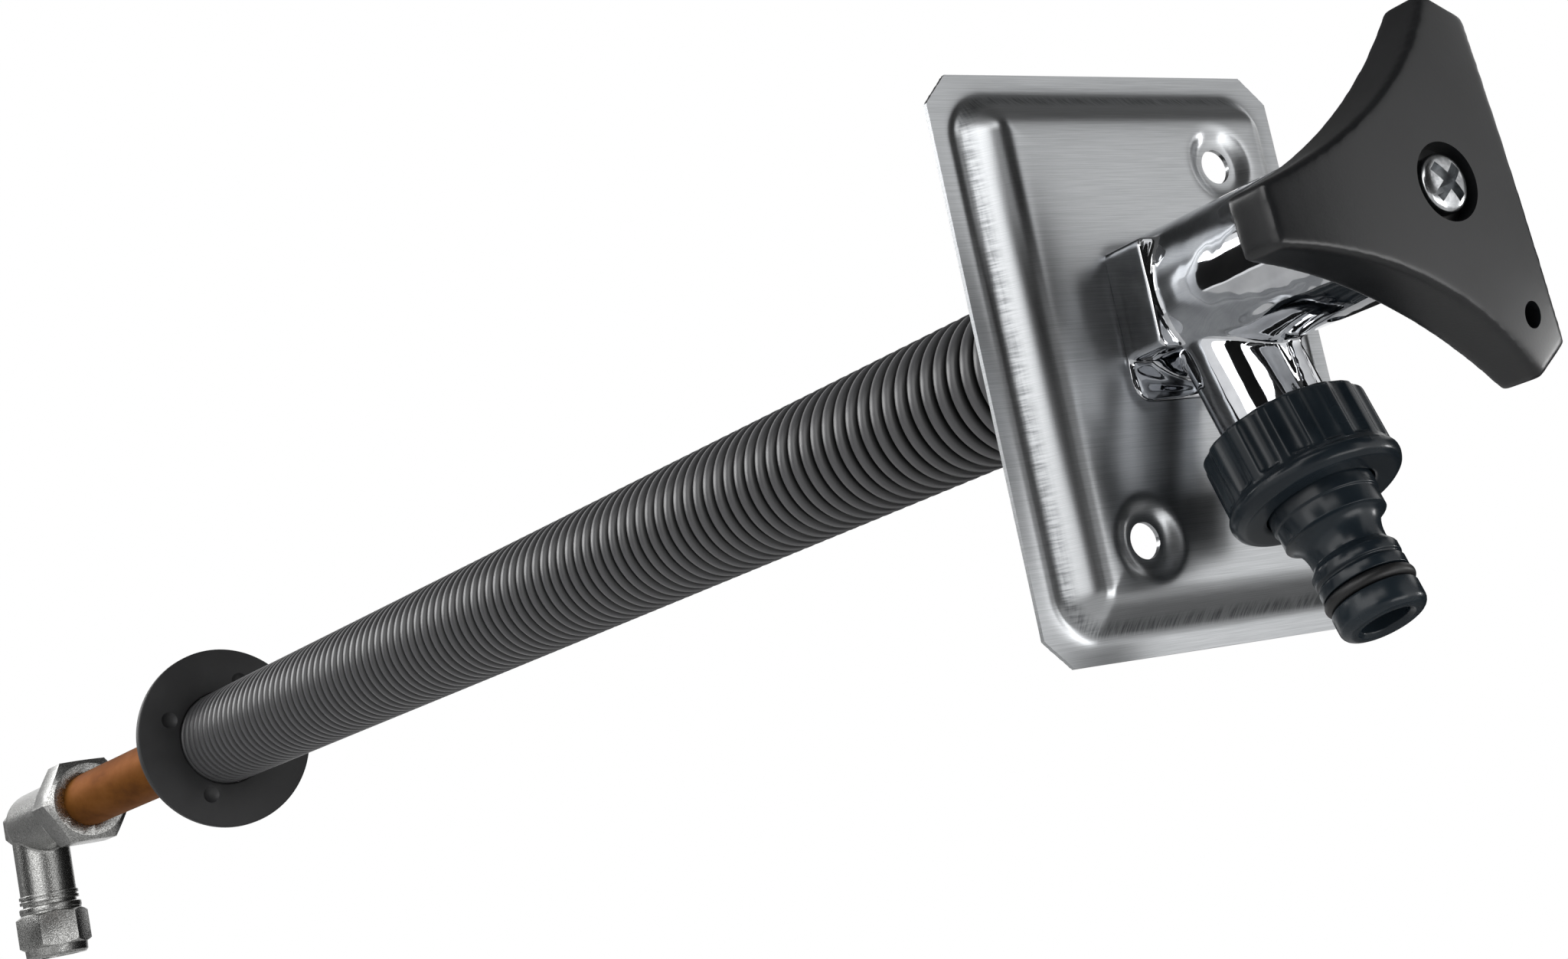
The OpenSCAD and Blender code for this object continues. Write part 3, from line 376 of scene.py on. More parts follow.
# %% Drag marks
MARK_LENGTH, MARK_WIDTH = 5 * MM, 0.4 * MM
level_marks = drawn_out_noise(steel, steel_place, (MARK_LENGTH, MARK_LENGTH, MARK_WIDTH), 2)
upright_marks = drawn_out_noise(steel, steel_place, (MARK_WIDTH, MARK_LENGTH, MARK_LENGTH), 2)
slope_ways = add_node(steel, "ShaderNodeSeparateXYZ", links={"Vector": faces})
sideways = add_node(steel, "ShaderNodeMath", operation="ABSOLUTE", links={0: slope_ways.outputs["X"]})
chosen = add_node(steel, "ShaderNodeMix",
                  links={"Factor": sideways.outputs[0], "A": upright_marks, "B": level_marks})
drag_marks = chosen.outputs[0]
mark_tones = tones(steel, drag_marks, (0.36, "#808284"), (0.62, "#b2b4b6"))
print("drag marks", MARK_WIDTH / MM, "mm wide")

# %% Marks only at the foot of the slopes
# The band of marks fades in from the rim behind it and from the tray in front of it.
RIM_FADE, TRAY_FADE = (4.4 * MM, 3.6 * MM), (1.0 * MM, 2.6 * MM)
depth = add_node(steel, "ShaderNodeSeparateXYZ", links={"Vector": steel_place}).outputs["Y"]
at_foot = product(steel, spread(steel, depth, 0, 1, *RIM_FADE), spread(steel, depth, 0, 1, *TRAY_FADE))
mixed = add_node(steel, "ShaderNodeMix", data_type="RGBA",
                 links={0: at_foot, 6: steel_tones, 7: mark_tones})
scratches = bumps(steel, brush_lines, 0.03, 0.03 * MM)
mark_relief = bumps(steel, product(steel, drag_marks, at_foot), 0.1, 0.1 * MM, under=scratches)
dress(steel, mixed.outputs[2], spread(steel, brush_lines, 0.27, 0.33), mark_relief)

# %% [markdown]
# ## Chrome on cast brass
# Chrome is a mirror. The casting under it was polished on a wheel by hand, which leaves long soft
# waves, so that straight things show up bent. Faint greasy clouds dull the mirror here and there.

# %% Chrome
chrome = new_material("chrome on cast brass", "#d0d2d6", 1, 0.06)[0]
chrome_place = object_place(chrome)
WAVE, CLOUD = 8 * MM, 5 * MM
waves = noise(chrome, chrome_place, WAVE, 1)
clouds = noise(chrome, chrome_place, CLOUD, 5)
dress(chrome, tones(chrome, clouds, (0.35, "#c6c8cc"), (0.65, "#d8dadd")),
      spread(chrome, clouds, 0.02, 0.07), bumps(chrome, waves, 0.4, 0.5 * MM))

# %% [markdown]
# ## Moulded plastics and rubber
# A mould gives plastic an even, slightly grainy skin. One recipe serves the handle, the connector,
# the sleeve and the seals: a dark colour that drifts a little from flow in the mould, a polish
# that drifts with it, and a grain of a given size in millimetres.

# %% Moulded plastics and rubber
FLOW = 12 * MM


def moulded(name, dark, pale, roughness, grain_mm, grain_strength, shine=0.5):
    material, shader = new_material(name, dark, 0, roughness)
    shader.inputs["Specular IOR Level"].default_value = shine
    place = object_place(material)
    flow = noise(material, place, FLOW, 4)
    grain = noise(material, place, grain_mm * MM, 2)
    dress(material, tones(material, flow, (0.35, dark), (0.68, pale)),
          spread(material, flow, roughness - 0.06, roughness + 0.08),
          bumps(material, grain, grain_strength, 0.1 * MM))
    return material


handle_plastic = moulded("glass-filled black nylon", "#0f1012", "#18191b", 0.31, 0.5, 0.1, 0.55)
connector_plastic = moulded("dark grey ABS", "#192026", "#20282e", 0.24, 0.7, 0.06, 0.3)
flange_rubber = moulded("black flange rubber", "#202021", "#2a2a2b", 0.55, 0.5, 0.2)
seal_rubber = moulded("seal rubber", "#08080a", "#101011", 0.42, 0.4, 0.08)
pale_plastic = moulded("acetal", "#d8d3c4", "#e2ddd0", 0.4, 0.6, 0.05)
fibre = moulded("vulcanised fibre", "#6d3226", "#7d3d30", 0.6, 0.4, 0.2)

# %% [markdown]
# The sleeve gets the same plastic recipe, and one thing more. Shade is painted into its grooves:
# its colour follows the distance from the sleeve's axis, nearly black in a groove and greyer on a
# ridge.

# %% Ribbed polypropylene
GROOVE_FLOOR_R, RIDGE_TOP_R = 15 * MM, 17 * MM
sleeve_plastic = moulded("ribbed black polypropylene", "#232324", "#2d2d2e", 0.34, 0.9, 0.08)
from_axis = add_node(sleeve_plastic, "ShaderNodeMapping", links={"Vector": object_place(sleeve_plastic)},
                     values={"Location": (0, 0, -AXIS_Z * MM), "Scale": (1, 0, 1)})
axis_distance = add_node(sleeve_plastic, "ShaderNodeVectorMath", operation="LENGTH",
                         links={0: from_axis.outputs[0]})
# Painted shade: the colour darkens from the ridge tops down to the groove floors, where the ribs shade
# each other.
painted_groove_shade = spread(sleeve_plastic, axis_distance.outputs["Value"], 0, 1, GROOVE_FLOOR_R, RIDGE_TOP_R)
sleeve_tones_with_painted_shade = tones(sleeve_plastic, painted_groove_shade, (0.3, "#030303"), (0.75, "#323233"), (1.0, "#505052"))
sleeve_shader = sleeve_plastic.node_tree.nodes["Principled BSDF"]
link(sleeve_plastic, sleeve_tones_with_painted_shade, sleeve_shader.inputs["Base Color"])
print("grooves are darker than ridges")

# %% [markdown]
# ## Copper, nickel and brass
# Drawn copper tube turns brown in the air, in patches drawn out along the tube, and stays rosy
# where it was handled. The elbow is a blasted casting under nickel: each grain faces its own way,
# so the surface glitters from dark to bright. Brass and steel hide inside.

# %% Copper
PATCH, PATCH_LENGTH = 14 * MM, 35 * MM
copper, copper_shader = new_material("tarnished copper tube", "#6e431a", 0.6, 0.5)
copper_shader.inputs["Specular Tint"].default_value = linear("#a98560")
patches = drawn_out_noise(copper, object_place(copper), (PATCH, PATCH_LENGTH, PATCH), 6, 0.65)
tarnish = tones(copper, patches, (0.28, "#5e3911"), (0.46, "#784b18"),
                (0.6, "#815322"), (0.76, "#86583a"))
dress(copper, tarnish, spread(copper, patches, 0.72, 0.5), bumps(copper, patches, 0.15, 0.1 * MM))


# %% Cast and turned metals
def grained_metal(name, dark, pale, roughness, grain_mm, strength):
    material = new_material(name, pale, 1, roughness)[0]
    grain = noise(material, object_place(material), grain_mm * MM, 3, 0.6)
    dress(material, tones(material, grain, (0.35, dark), (0.65, pale)),
          spread(material, grain, roughness + 0.12, roughness - 0.08),
          bumps(material, grain, strength, 0.25 * MM))
    return material


cast_nickel = grained_metal("nickel plate on blasted brass", "#7c7c7a", "#c0c0be", 0.24, 0.6, 0.4)
bright_steel = grained_metal("bright zinc plated steel", "#a9abad", "#cfd1d3", 0.2, 1.5, 0.08)
brass = grained_metal("turned brass", "#9c7836", "#bd964c", 0.28, 0.6, 0.1)

# %% [markdown]
# ## CAD nodes that stay
# The pieces inside the tap, the plain copper tube and the seals have their right forms already.
# They only get a material in their slot.

# %% Materials for the CAD nodes that stay
STAYING = {
    brass: ("bonnet", "spindle", "drive_screw", "carrier_guide", "valve_carrier", "washer_screw",
            "valve_seat", "olive_large", "olive_small"),
    bright_steel: ("set_screw", "operating_rod", "rod_pins", "check_spring"),
    seal_rubber: ("gland_orings", "seat_washer", "nose_oring", "hose_washer"),
    pale_plastic: ("rod_guides", "check_housing", "check_poppet", "check_retainer"),
    fibre: ("thrust_washer",),
    copper: ("copper_tube",),
}
for material, names in STAYING.items():
    for name in names:
        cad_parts[name].data.materials.clear()
        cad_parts[name].data.materials.append(material)
    print(material.name, "on", len(names), "nodes")

# %% [markdown]
# ## Wall plate
# The real plate is a sheet pressed between two dies. The same happens here. A fine grid is the
# sheet and its corners are cut off. The die's height then moves each point forward: a flat rim
# that bends softly into a straight flank, a rounded shoulder at the tray's front, a dish round
# each screw hole and a soft dip round the tap's foot. Solidify gives the sheet its thickness and
# the holes are punched last, as they are in a press.

# %% The die
PLATE_W, PLATE_H, SHEET, CORNER_CUT = 92, 120, 1, 6
RIM_W, TRAY_DEPTH, FLANK, TRAY_R, FLANK_BEND, SHOULDER = 4.8, 9, 1.25, 9, 1.3, 2.7
SCREW_X, SCREW_Z, SCREW_HOLE_R, DISH_R, DISH_DEPTH = 21, 38, 3.7, 9.8, 1.8
FOOT_W, FOOT_LOW, FOOT_TOP, FOOT_R = 33, -11, 19.75, 4
FOOT_DIP, DIP_START, DIP_END = 0.25, -0.5, 3
FOOT_MIDDLE, FOOT_H = (FOOT_LOW + FOOT_TOP) / 2, FOOT_TOP - FOOT_LOW


def smooth_step(low, high, value):
    t = min(max((value - low) / (high - low), 0), 1)
    return t * t * t * (t * (6 * t - 15) + 10)


def softer_min(a, b, bend):
    return (a + b - math.hypot(a - b, bend)) / 2


def outside_round_box(x, z, half_w, half_h, r):
    dx, dz = abs(x) - half_w + r, abs(z) - half_h + r
    return math.hypot(max(dx, 0), max(dz, 0)) + min(max(dx, dz), 0) - r


def die_height(x, z):
    inside = -outside_round_box(x, z, PLATE_W / 2 - RIM_W, PLATE_H / 2 - RIM_W, TRAY_R)
    rise = TRAY_DEPTH - SHEET
    flank = FLANK * (inside + math.hypot(inside, FLANK_BEND)) / 2
    height = SHEET + softer_min(flank, rise, SHOULDER) - softer_min(0, rise, SHOULDER)
    for side in (-1, 1):
        from_screw = math.hypot(x - side * SCREW_X, z - side * SCREW_Z)
        height -= DISH_DEPTH * (1 - smooth_step(SCREW_HOLE_R, DISH_R, from_screw))
    from_foot = outside_round_box(x, z - FOOT_MIDDLE, FOOT_W / 2, FOOT_H / 2, FOOT_R)
    return height - FOOT_DIP * (1 - smooth_step(DIP_START, DIP_END, from_foot))


print("height on the rim and on the tray:", round(die_height(44, 0), 2), round(die_height(30, 0), 2))

# %% Press the sheet
# The grid's lines crowd towards the plate's edges, where the sheet bends most.
CROWDING = 0.6


def crowded(place):
    return (1 - CROWDING) * place + CROWDING * math.sin(math.pi * place) / 2


select_only()
bpy.ops.mesh.primitive_grid_add(x_subdivisions=160, y_subdivisions=208, size=1)
plate = named("pressed_plate")
for vertex in plate.data.vertices:
    vertex.co.x = crowded(vertex.co.x) * PLATE_W * MM
    vertex.co.y = crowded(vertex.co.y) * PLATE_H * MM
edit(plate)
for right in (-1, 1):
    for top in (-1, 1):
        corner = (right * (PLATE_W - CORNER_CUT) / 2 * MM, top * (PLATE_H - CORNER_CUT) / 2 * MM, 0)
        bpy.ops.mesh.select_all(action="SELECT")
        bpy.ops.mesh.bisect(plane_co=corner, plane_no=(right, top, 0), clear_outer=True)
bpy.ops.object.mode_set(mode="OBJECT")
for vertex in plate.data.vertices:
    vertex.co.z = die_height(vertex.co.x / MM, vertex.co.y / MM) * MM
apply_modifier(plate, "SOLIDIFY", thickness=SHEET * MM, offset=-1)
wall_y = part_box("wall_plate")[1][1]
put(plate, Matrix.Translation((0, wall_y, 0)) @ Matrix.Rotation(math.radians(90), 4, "X"))
print("sheet pressed, faces:", len(plate.data.polygons))


# %% [markdown]
# Some more tools are needed from here on. A cutter is taken away from a piece, or added to it, by
# a Boolean modifier. A rod is a cylinder that starts at a place and runs along the place's own Z,
# and drilling takes rods away. A block is a cube whose four edges along Y are rounded.

# %% Tools for solid pieces
def combine(piece, tool, operation="DIFFERENCE"):
    apply_modifier(piece, "BOOLEAN", operation=operation, solver="EXACT", object=tool)
    bpy.data.objects.remove(tool)


def rod(place, radius, length, sides=96, name="rod"):
    select_only()
    bpy.ops.mesh.primitive_cylinder_add(vertices=sides, radius=radius * MM, depth=length * MM,
                                        location=(0, 0, length / 2 * MM))
    return put(named(name), place)


def drill(piece, **bores):
    for bore in bores.values():
        combine(piece, rod(*bore))
    print("drilled:", ", ".join(bores))


def block(low, high, corner_r):
    select_only()
    middle = [(a + b) / 2 * MM for a, b in zip(low, high)]
    bpy.ops.mesh.primitive_cube_add(size=1, location=middle)
    made = named("block")
    bpy.ops.transform.resize(value=[(b - a) * MM for a, b in zip(low, high)])
    bpy.ops.object.transform_apply(location=True, scale=True)
    edit(made)
    bpy.ops.mesh.select_all(action="DESELECT")
    mesh = bmesh.from_edit_mesh(made.data)
    for edge in mesh.edges:
        start, end = edge.verts
        edge.select_set(abs(start.co.y - end.co.y) > 0.01 * MM)
    bpy.ops.mesh.bevel(offset=corner_r * MM, segments=8, affect="EDGES")
    bpy.ops.object.mode_set(mode="OBJECT")
    return made


def finish_piece(piece, body, node, material, smooth_below=40):
    select_only(piece)
    bpy.ops.object.shade_smooth_by_angle(angle=math.radians(smooth_below))
    piece.data.materials.clear()
    piece.data.materials.append(material)
    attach(piece, body)
    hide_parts(node)
    triangles = sum(len(face.vertices) - 2 for face in piece.data.polygons)
    print(piece.name, "triangles:", triangles)


print("tools for solid pieces")

# %% Punch the plate
FIT, PUNCH_REACH = 0.05, 20
for side in (-1, 1):
    hole_start = Matrix.Translation((side * SCREW_X * MM, -PUNCH_REACH * MM, side * SCREW_Z * MM))
    hole_place = hole_start @ Matrix.Rotation(math.radians(-90), 4, "X")
    combine(plate, rod(hole_place, SCREW_HOLE_R, 2 * PUNCH_REACH, 48))
foot_hole_low = (-FOOT_W / 2 - FIT, -PUNCH_REACH, FOOT_LOW - FIT)
foot_hole_high = (FOOT_W / 2 + FIT, PUNCH_REACH, FOOT_TOP + FIT)
combine(plate, block(foot_hole_low, foot_hole_high, FOOT_R))
finish_piece(plate, "fixed", "wall_plate", steel)

# %% [markdown]
# ## Tap body
# The body is one brass casting. A founder's pattern is glued together from plain wooden forms, and
# its inner corners are filled with wax. Here the forms are rods and blocks at their places. A
# voxel remesh grows one skin over all of them, and smoothing rounds the corners like the wax. The
# bores are drilled after that, so they stay sharp, as in a machined casting.

# %% Forms of the tap body
PLATEAU_Y, FOOT_FRONT, OVERLAP = -3, -3.3, 1
BRIM, BRIM_FRONT, BRIM_BACK = 2, -1.2, 0.5
BARREL_FRONT, BARREL_R = -58, 15.5
SPIGOT_START, SPIGOT_R, SPIGOT_LEN = -1, 14.05, 21.5
SPOUT_R, SPOUT_LEN, THREAD_R, THREAD_LEN = 11, 34.8, 13.15, 6.7
BLOCK_LOW, BLOCK_FRONT, BLOCK_R = -2.75, -13.5, 1.5
half = FOOT_W / 2
barrel_back = PLATEAU_Y + OVERLAP
brim_low = (-half - BRIM, BRIM_FRONT, FOOT_LOW - BRIM)
brim_high = (half + BRIM, BRIM_BACK, FOOT_TOP + BRIM)
forms = [
    block((-half, FOOT_FRONT, FOOT_LOW), (half, 0, FOOT_TOP), FOOT_R),
    block(brim_low, brim_high, FOOT_R + BRIM),
    block((-half, BLOCK_FRONT, BLOCK_LOW), (half, barrel_back, FOOT_TOP), BLOCK_R),
    rod(out_of_wall(barrel_back), BARREL_R, barrel_back - BARREL_FRONT),
    rod(into_wall(SPIGOT_START), SPIGOT_R, SPIGOT_LEN),
    rod(down_spout(0), SPOUT_R, SPOUT_LEN),
    rod(down_spout(SPOUT_LEN), THREAD_R, THREAD_LEN),
]
print("forms:", len(forms))

# %% Web under the barrel
# The web runs from the barrel down the front of the spout and ends at the hose thread, so the
# front of a flat block is cut off slantwise.
WEB_T, WEB_REACH, WEB_EDGE = 4, 3, 0.5
web = block((-WEB_T / 2, 0, 0), (WEB_T / 2, SPOUT_R + WEB_REACH, SPOUT_LEN), WEB_EDGE)
edit(web)
slant = Vector((0, SPOUT_LEN - BARREL_R, WEB_REACH)).normalized()
bpy.ops.mesh.bisect(plane_co=(0, SPOUT_R * MM, SPOUT_LEN * MM), plane_no=slant,
                    clear_outer=True, use_fill=True)
forms.append(put(web, down_spout(0)))
print("web cut slantwise")


# %% One skin over all forms
def joined(pieces, name):
    select_only(pieces[0])
    for piece in pieces[1:]:
        piece.select_set(True)
    bpy.ops.object.join()
    return named(name)


def grow_skin(piece, grain, rounds):
    apply_modifier(piece, "REMESH", mode="VOXEL", voxel_size=grain * MM, use_smooth_shade=True)
    apply_modifier(piece, "SMOOTH", factor=0.5, iterations=rounds)


tap_body = joined(forms, "cast_body")
grow_skin(tap_body, 0.5, 14)
print("skin faces:", len(tap_body.data.polygons))

# %% Drill the tap body
# Each bore is given by its start and direction, its radius and its length. A fourth number is the
# count of its sides.
drill(
    tap_body,
    bonnet_bore=(into_wall(BARREL_FRONT - 1), 12.05, 18.5),
    water_chamber=(into_wall(BARREL_FRONT + 16), 10, 45),
    tube_socket=(into_wall(2), 11.05, 25),
    spout_bore=(down_spout(2), 5.5, 45),
    check_valve_seat=(down_spout(27.9), 6.55, 20),
    set_screw_hole=(Matrix.Translation((0, -43.5 * MM, -9 * MM)), 2.05, 7, 32),
)
finish_piece(tap_body, "fixed", "tap_body", chrome, 50)

# %% [markdown]
# ## Star handle
# The handle is moulded with three arms, hollowed sides and a gently domed front. A three-sided
# prism has the right corners. Each corner is cut off at the arm's reach, a large round cutter
# hollows each side, and what lies inside a very large ball is kept, which makes the dome. The
# skin is then grown and smoothed so that every edge has a moulding's small radius. The recess and
# the holes are cut last, so they stay sharp.

# %% Star handle
HANDLE_BACK, HANDLE_T, DOME = -61.5, 15, 5.5
ARM_REACH, ARM_END_W, FIRST_ARM, SIDE_HOLLOW = 40, 11.5, 65, 5
triangle_r = ARM_REACH + ARM_END_W / 2 / math.tan(math.radians(30))
select_only()
bpy.ops.mesh.primitive_cylinder_add(vertices=3, radius=triangle_r * MM, depth=HANDLE_T * MM,
                                    location=(0, 0, HANDLE_T / 2 * MM),
                                    rotation=(0, 0, math.radians(FIRST_ARM - 90)))
handle = named("star_handle")
bpy.ops.object.transform_apply(location=True, rotation=True)
arms = [math.radians(FIRST_ARM + 120 * i) for i in range(3)]
edit(handle)
for turn in arms:
    way = Vector((math.cos(turn), math.sin(turn), 0))
    bpy.ops.mesh.select_all(action="SELECT")
    bpy.ops.mesh.bisect(plane_co=way * ARM_REACH * MM, plane_no=way, clear_outer=True, use_fill=True)
bpy.ops.object.mode_set(mode="OBJECT")
print("corners:", len(handle.data.vertices) // 2)

# %% Hollow sides and dome
CUT_START, CUT_LEN = -5, 30
side_chord = ARM_REACH * 0.5 + ARM_END_W / 2 * math.sin(math.radians(60))
side_half = ARM_REACH * math.sin(math.radians(60)) - ARM_END_W / 4
cutter_r = (side_half ** 2 + SIDE_HOLLOW ** 2) / (2 * SIDE_HOLLOW)
reach = side_chord - SIDE_HOLLOW + cutter_r


def across_handle(distance, turn):
    place = (distance * math.cos(turn), distance * math.sin(turn), CUT_START)
    return Matrix.Translation([c * MM for c in place])


for turn in arms:
    combine(handle, rod(across_handle(reach, turn + math.pi), cutter_r, CUT_LEN, 256))
dome_r = (ARM_REACH ** 2 + DOME ** 2) / (2 * DOME)
select_only()
bpy.ops.mesh.primitive_uv_sphere_add(segments=128, ring_count=128, radius=dome_r * MM,
                                     location=(0, 0, (HANDLE_T - dome_r) * MM))
combine(handle, named("dome_ball"), "INTERSECT")
grow_skin(handle, 0.45, 44)
print("dome radius:", round(dome_r, 1), "mm")

# %% Recess and holes of the handle
RECESS_R, RECESS_FLOOR = 7.5, 11
HOLE_REACH, HOLE_R = 30, 2.5
DRIVE_W, DRIVE_START, DRIVE_DEPTH, DRIVE_EDGE = 7.1, -1, 9.1, 0.2
drill(
    handle,
    recess=(Matrix.Translation((0, 0, RECESS_FLOOR * MM)), RECESS_R, 10),
    arm_hole=(across_handle(HOLE_REACH, arms[2]), HOLE_R, CUT_LEN, 48),
)
drive_low = (-DRIVE_W / 2, -DRIVE_W / 2, DRIVE_START)
drive_high = (DRIVE_W / 2, DRIVE_W / 2, DRIVE_DEPTH)
combine(handle, block(drive_low, drive_high, DRIVE_EDGE))
drill(handle, screw_hole=(Matrix.Identity(4), 2.6, 13, 48))
put(handle, out_of_wall(HANDLE_BACK))
finish_piece(handle, "turning", "handle", handle_plastic, 50)


# %% [markdown]
# ## Turned pieces
# Screw, nose, nuts and flange are round, and a lathe would make them. The same is done by drawing
# half of the section, corner by corner, as a row of extruded points, and spinning it once round
# the Z axis. A bevel by angle then takes the sharp edges off, where an edge width is given.

# %% Tool for turned pieces
WELD = 0.001 * MM


def turned(name, section, steps, edge):
    select_only()
    bpy.ops.mesh.primitive_plane_add(size=1 * MM)
    piece = named(name)
    edit(piece)
    bpy.ops.mesh.merge(type="CENTER")
    first_r, first_z = section[0]
    bpy.ops.transform.translate(value=(first_r * MM, 0, first_z * MM))
    for (r0, z0), (r1, z1) in zip(section, section[1:] + section[:1]):
        step = ((r1 - r0) * MM, 0, (z1 - z0) * MM)
        bpy.ops.mesh.extrude_region_move(TRANSFORM_OT_translate={"value": step})
    bpy.ops.mesh.select_all(action="SELECT")
    bpy.ops.mesh.remove_doubles(threshold=WELD)
    bpy.ops.mesh.spin(steps=steps, angle=2 * math.pi, center=(0, 0, 0), axis=(0, 0, 1))
    bpy.ops.mesh.select_all(action="SELECT")
    bpy.ops.mesh.remove_doubles(threshold=WELD)
    bpy.ops.mesh.normals_make_consistent(inside=False)
    bpy.ops.object.mode_set(mode="OBJECT")
    if edge:
        apply_modifier(piece, "BEVEL", width=edge * MM, segments=3, limit_method="ANGLE",
                       angle_limit=math.radians(35))
    return piece


def quarter_round(middle_r, middle_z, across, along):
    turns = [math.radians(15 * i) for i in range(7)]
    return [(middle_r + across * math.cos(t), middle_z + along * math.sin(t)) for t in turns]


print("lathe ready")

# %% [markdown]
# ## Handle screw
# A pan-head screw with a deep cross slot holds the handle. Its head is turned with a low dome, and
# the cross is sunk by two crossed blocks, as a punch would.

# %% Handle screw
HEAD_R, HEAD_RIM, HEAD_TOP, SHANK_R, SHANK_START = 5.6, 13.8, 15.3, 2.45, 0.5
shank = [(0, SHANK_START), (SHANK_R, SHANK_START), (SHANK_R, RECESS_FLOOR), (HEAD_R, RECESS_FLOOR)]
dome = quarter_round(0, HEAD_RIM, HEAD_R, HEAD_TOP - HEAD_RIM)
handle_screw = turned("pan_head_screw", shank + dome[:-1] + [(0, HEAD_TOP)], 64, 0.25)
SLOT_W, SLOT_LEN, SLOT_DEPTH, SLOT_TURN, SLOT_EDGE = 2.2, 8.4, 3, 43, 0.1
slot_low = (-SLOT_LEN / 2, -SLOT_W / 2, HEAD_TOP - SLOT_DEPTH)
slot_high = (SLOT_LEN / 2, SLOT_W / 2, HEAD_TOP + 2)
for quarter in (0, 90):
    slot = block(slot_low, slot_high, SLOT_EDGE)
    combine(handle_screw, put(slot, Matrix.Rotation(math.radians(SLOT_TURN + quarter), 4, "Z")))
put(handle_screw, out_of_wall(HANDLE_BACK))
finish_piece(handle_screw, "turning", "handle_screw", bright_steel)

# %% [markdown]
# ## Hose connector
# The union nut is moulded with sixteen scooped flutes for the fingers and a lip below them. One
# flute cutter is made and spun round as copies, and a fine skin softens the edges. The nose that a
# hose clicks onto is turned: a stepped shoulder, a hollow waist, a collar with a fine groove, the
# sealing ring's seat and a rounded tip.

# %% Union nut
NUT_TOP, NUT_R, NUT_H, NUT_EDGE, LIP_R, LIP_TOP = 33.3, 17, 16.7, 0.6, 17.7, 12.6
THREAD_BORE_R, THREAD_DEPTH, NUT_HOLE_R = 13.22, 12.9, 11.1
FLUTES, FLUTE_R, FLUTE_DEPTH, FLUTE_START, FLUTE_LEN = 16, 4.2, 0.8, -2, LIP_TOP + 1.4
nut_wall = [(THREAD_BORE_R, 0), (NUT_R - NUT_EDGE, 0), (NUT_R, NUT_EDGE), (NUT_R, LIP_TOP)]
lip = [(LIP_R, LIP_TOP + 0.9), (LIP_R, NUT_H - 2.2), (LIP_R - 0.5, NUT_H - 0.9), (LIP_R - 1.7, NUT_H)]
nut_bore = [(NUT_HOLE_R, NUT_H), (NUT_HOLE_R, THREAD_DEPTH), (THREAD_BORE_R, THREAD_DEPTH)]
hose_nut = turned("fluted_nut", nut_wall + lip + nut_bore, 128, 0)
flute_place = Matrix.Translation(((NUT_R - FLUTE_DEPTH + FLUTE_R) * MM, 0, FLUTE_START * MM))
flutes = rod(flute_place, FLUTE_R, FLUTE_LEN, 48, "flutes")
edit(flutes)
bpy.ops.mesh.spin(steps=FLUTES - 1, dupli=True, angle=2 * math.pi * (FLUTES - 1) / FLUTES,
                  center=(0, 0, 0), axis=(0, 0, 1))
bpy.ops.object.mode_set(mode="OBJECT")
combine(hose_nut, flutes)
grow_skin(hose_nut, 0.3, 10)
put(hose_nut, down_spout(NUT_TOP))
finish_piece(hose_nut, "union_nut", "hose_nut", connector_plastic, 50)

# %% Section of the connector nose
# Radii first, then the places of the section's corners along the spout.
NOSE_BORE_R, HEEL_R, STEP_R, SHOULDER_R, WAIST_R, COLLAR_R, SEAT_R = 5, 12.85, 10.8, 10.4, 7.6, 8.8, 6.55
NOSE_TOP, HEEL_END, STEP_END, SHOULDER_END, WAIST, COLLAR = 43.7, 45.9, 52.4, 56.2, 61.4, 63.4
FINE_GROOVE, FINE_DEPTH, SEAT_START, SEAT_END, TIP, TIP_ROUND, MOUTH = 65.6, 0.45, 68.7, 71.5, 77, 2, 0.8
fine_r = COLLAR_R - FINE_DEPTH
hollow_r = WAIST - SHOULDER_END
heel = [(NOSE_BORE_R, NOSE_TOP), (HEEL_R, NOSE_TOP), (HEEL_R, HEEL_END)]
shoulder = [(STEP_R, HEEL_END), (STEP_R, STEP_END), (SHOULDER_R, STEP_END + 0.2),
            (SHOULDER_R, SHOULDER_END - 0.3)]
hollow = [(WAIST_R + hollow_r * 0.55 * (1 - math.cos(t)), WAIST - hollow_r * math.sin(t))
          for t in (math.radians(11.25 * i) for i in range(8, -1, -1))]
collar = [(WAIST_R, WAIST + 0.8), (COLLAR_R - 0.2, COLLAR), (COLLAR_R, COLLAR + 0.4)]
fine_groove = [(COLLAR_R, FINE_GROOVE), (fine_r, FINE_GROOVE + 0.3), (fine_r, FINE_GROOVE + 0.7),
               (COLLAR_R, FINE_GROOVE + 1)]
seat = [(COLLAR_R, SEAT_START), (SEAT_R, SEAT_START), (SEAT_R, SEAT_END), (COLLAR_R - 0.3, SEAT_END)]
rounding = quarter_round(COLLAR_R - TIP_ROUND, TIP - TIP_ROUND, TIP_ROUND, TIP_ROUND)
tip = [(COLLAR_R, SEAT_END + 0.6)] + rounding
mouth = [(NOSE_BORE_R + MOUTH, TIP), (NOSE_BORE_R, TIP - MOUTH)]
nose_section = heel + shoulder + hollow + collar + fine_groove + seat + tip + mouth
print("corners of the nose's section:", len(nose_section))

# %% Connector nose
hose_nose = turned("connector_nose", nose_section, 96, 0.2)
put(hose_nose, down_spout(0))
finish_piece(hose_nose, "fixed", "hose_nose", connector_plastic, 50)

# %% [markdown]
# ## Ribbed sleeve
# The sleeve is one rib repeated a hundred and ten times. A circle is drawn out ring by ring along
# the rib's rounded outline. An Array repeats the rib along the sleeve and merges the seams. The
# two end rings are drawn inwards to the bore and bridged.

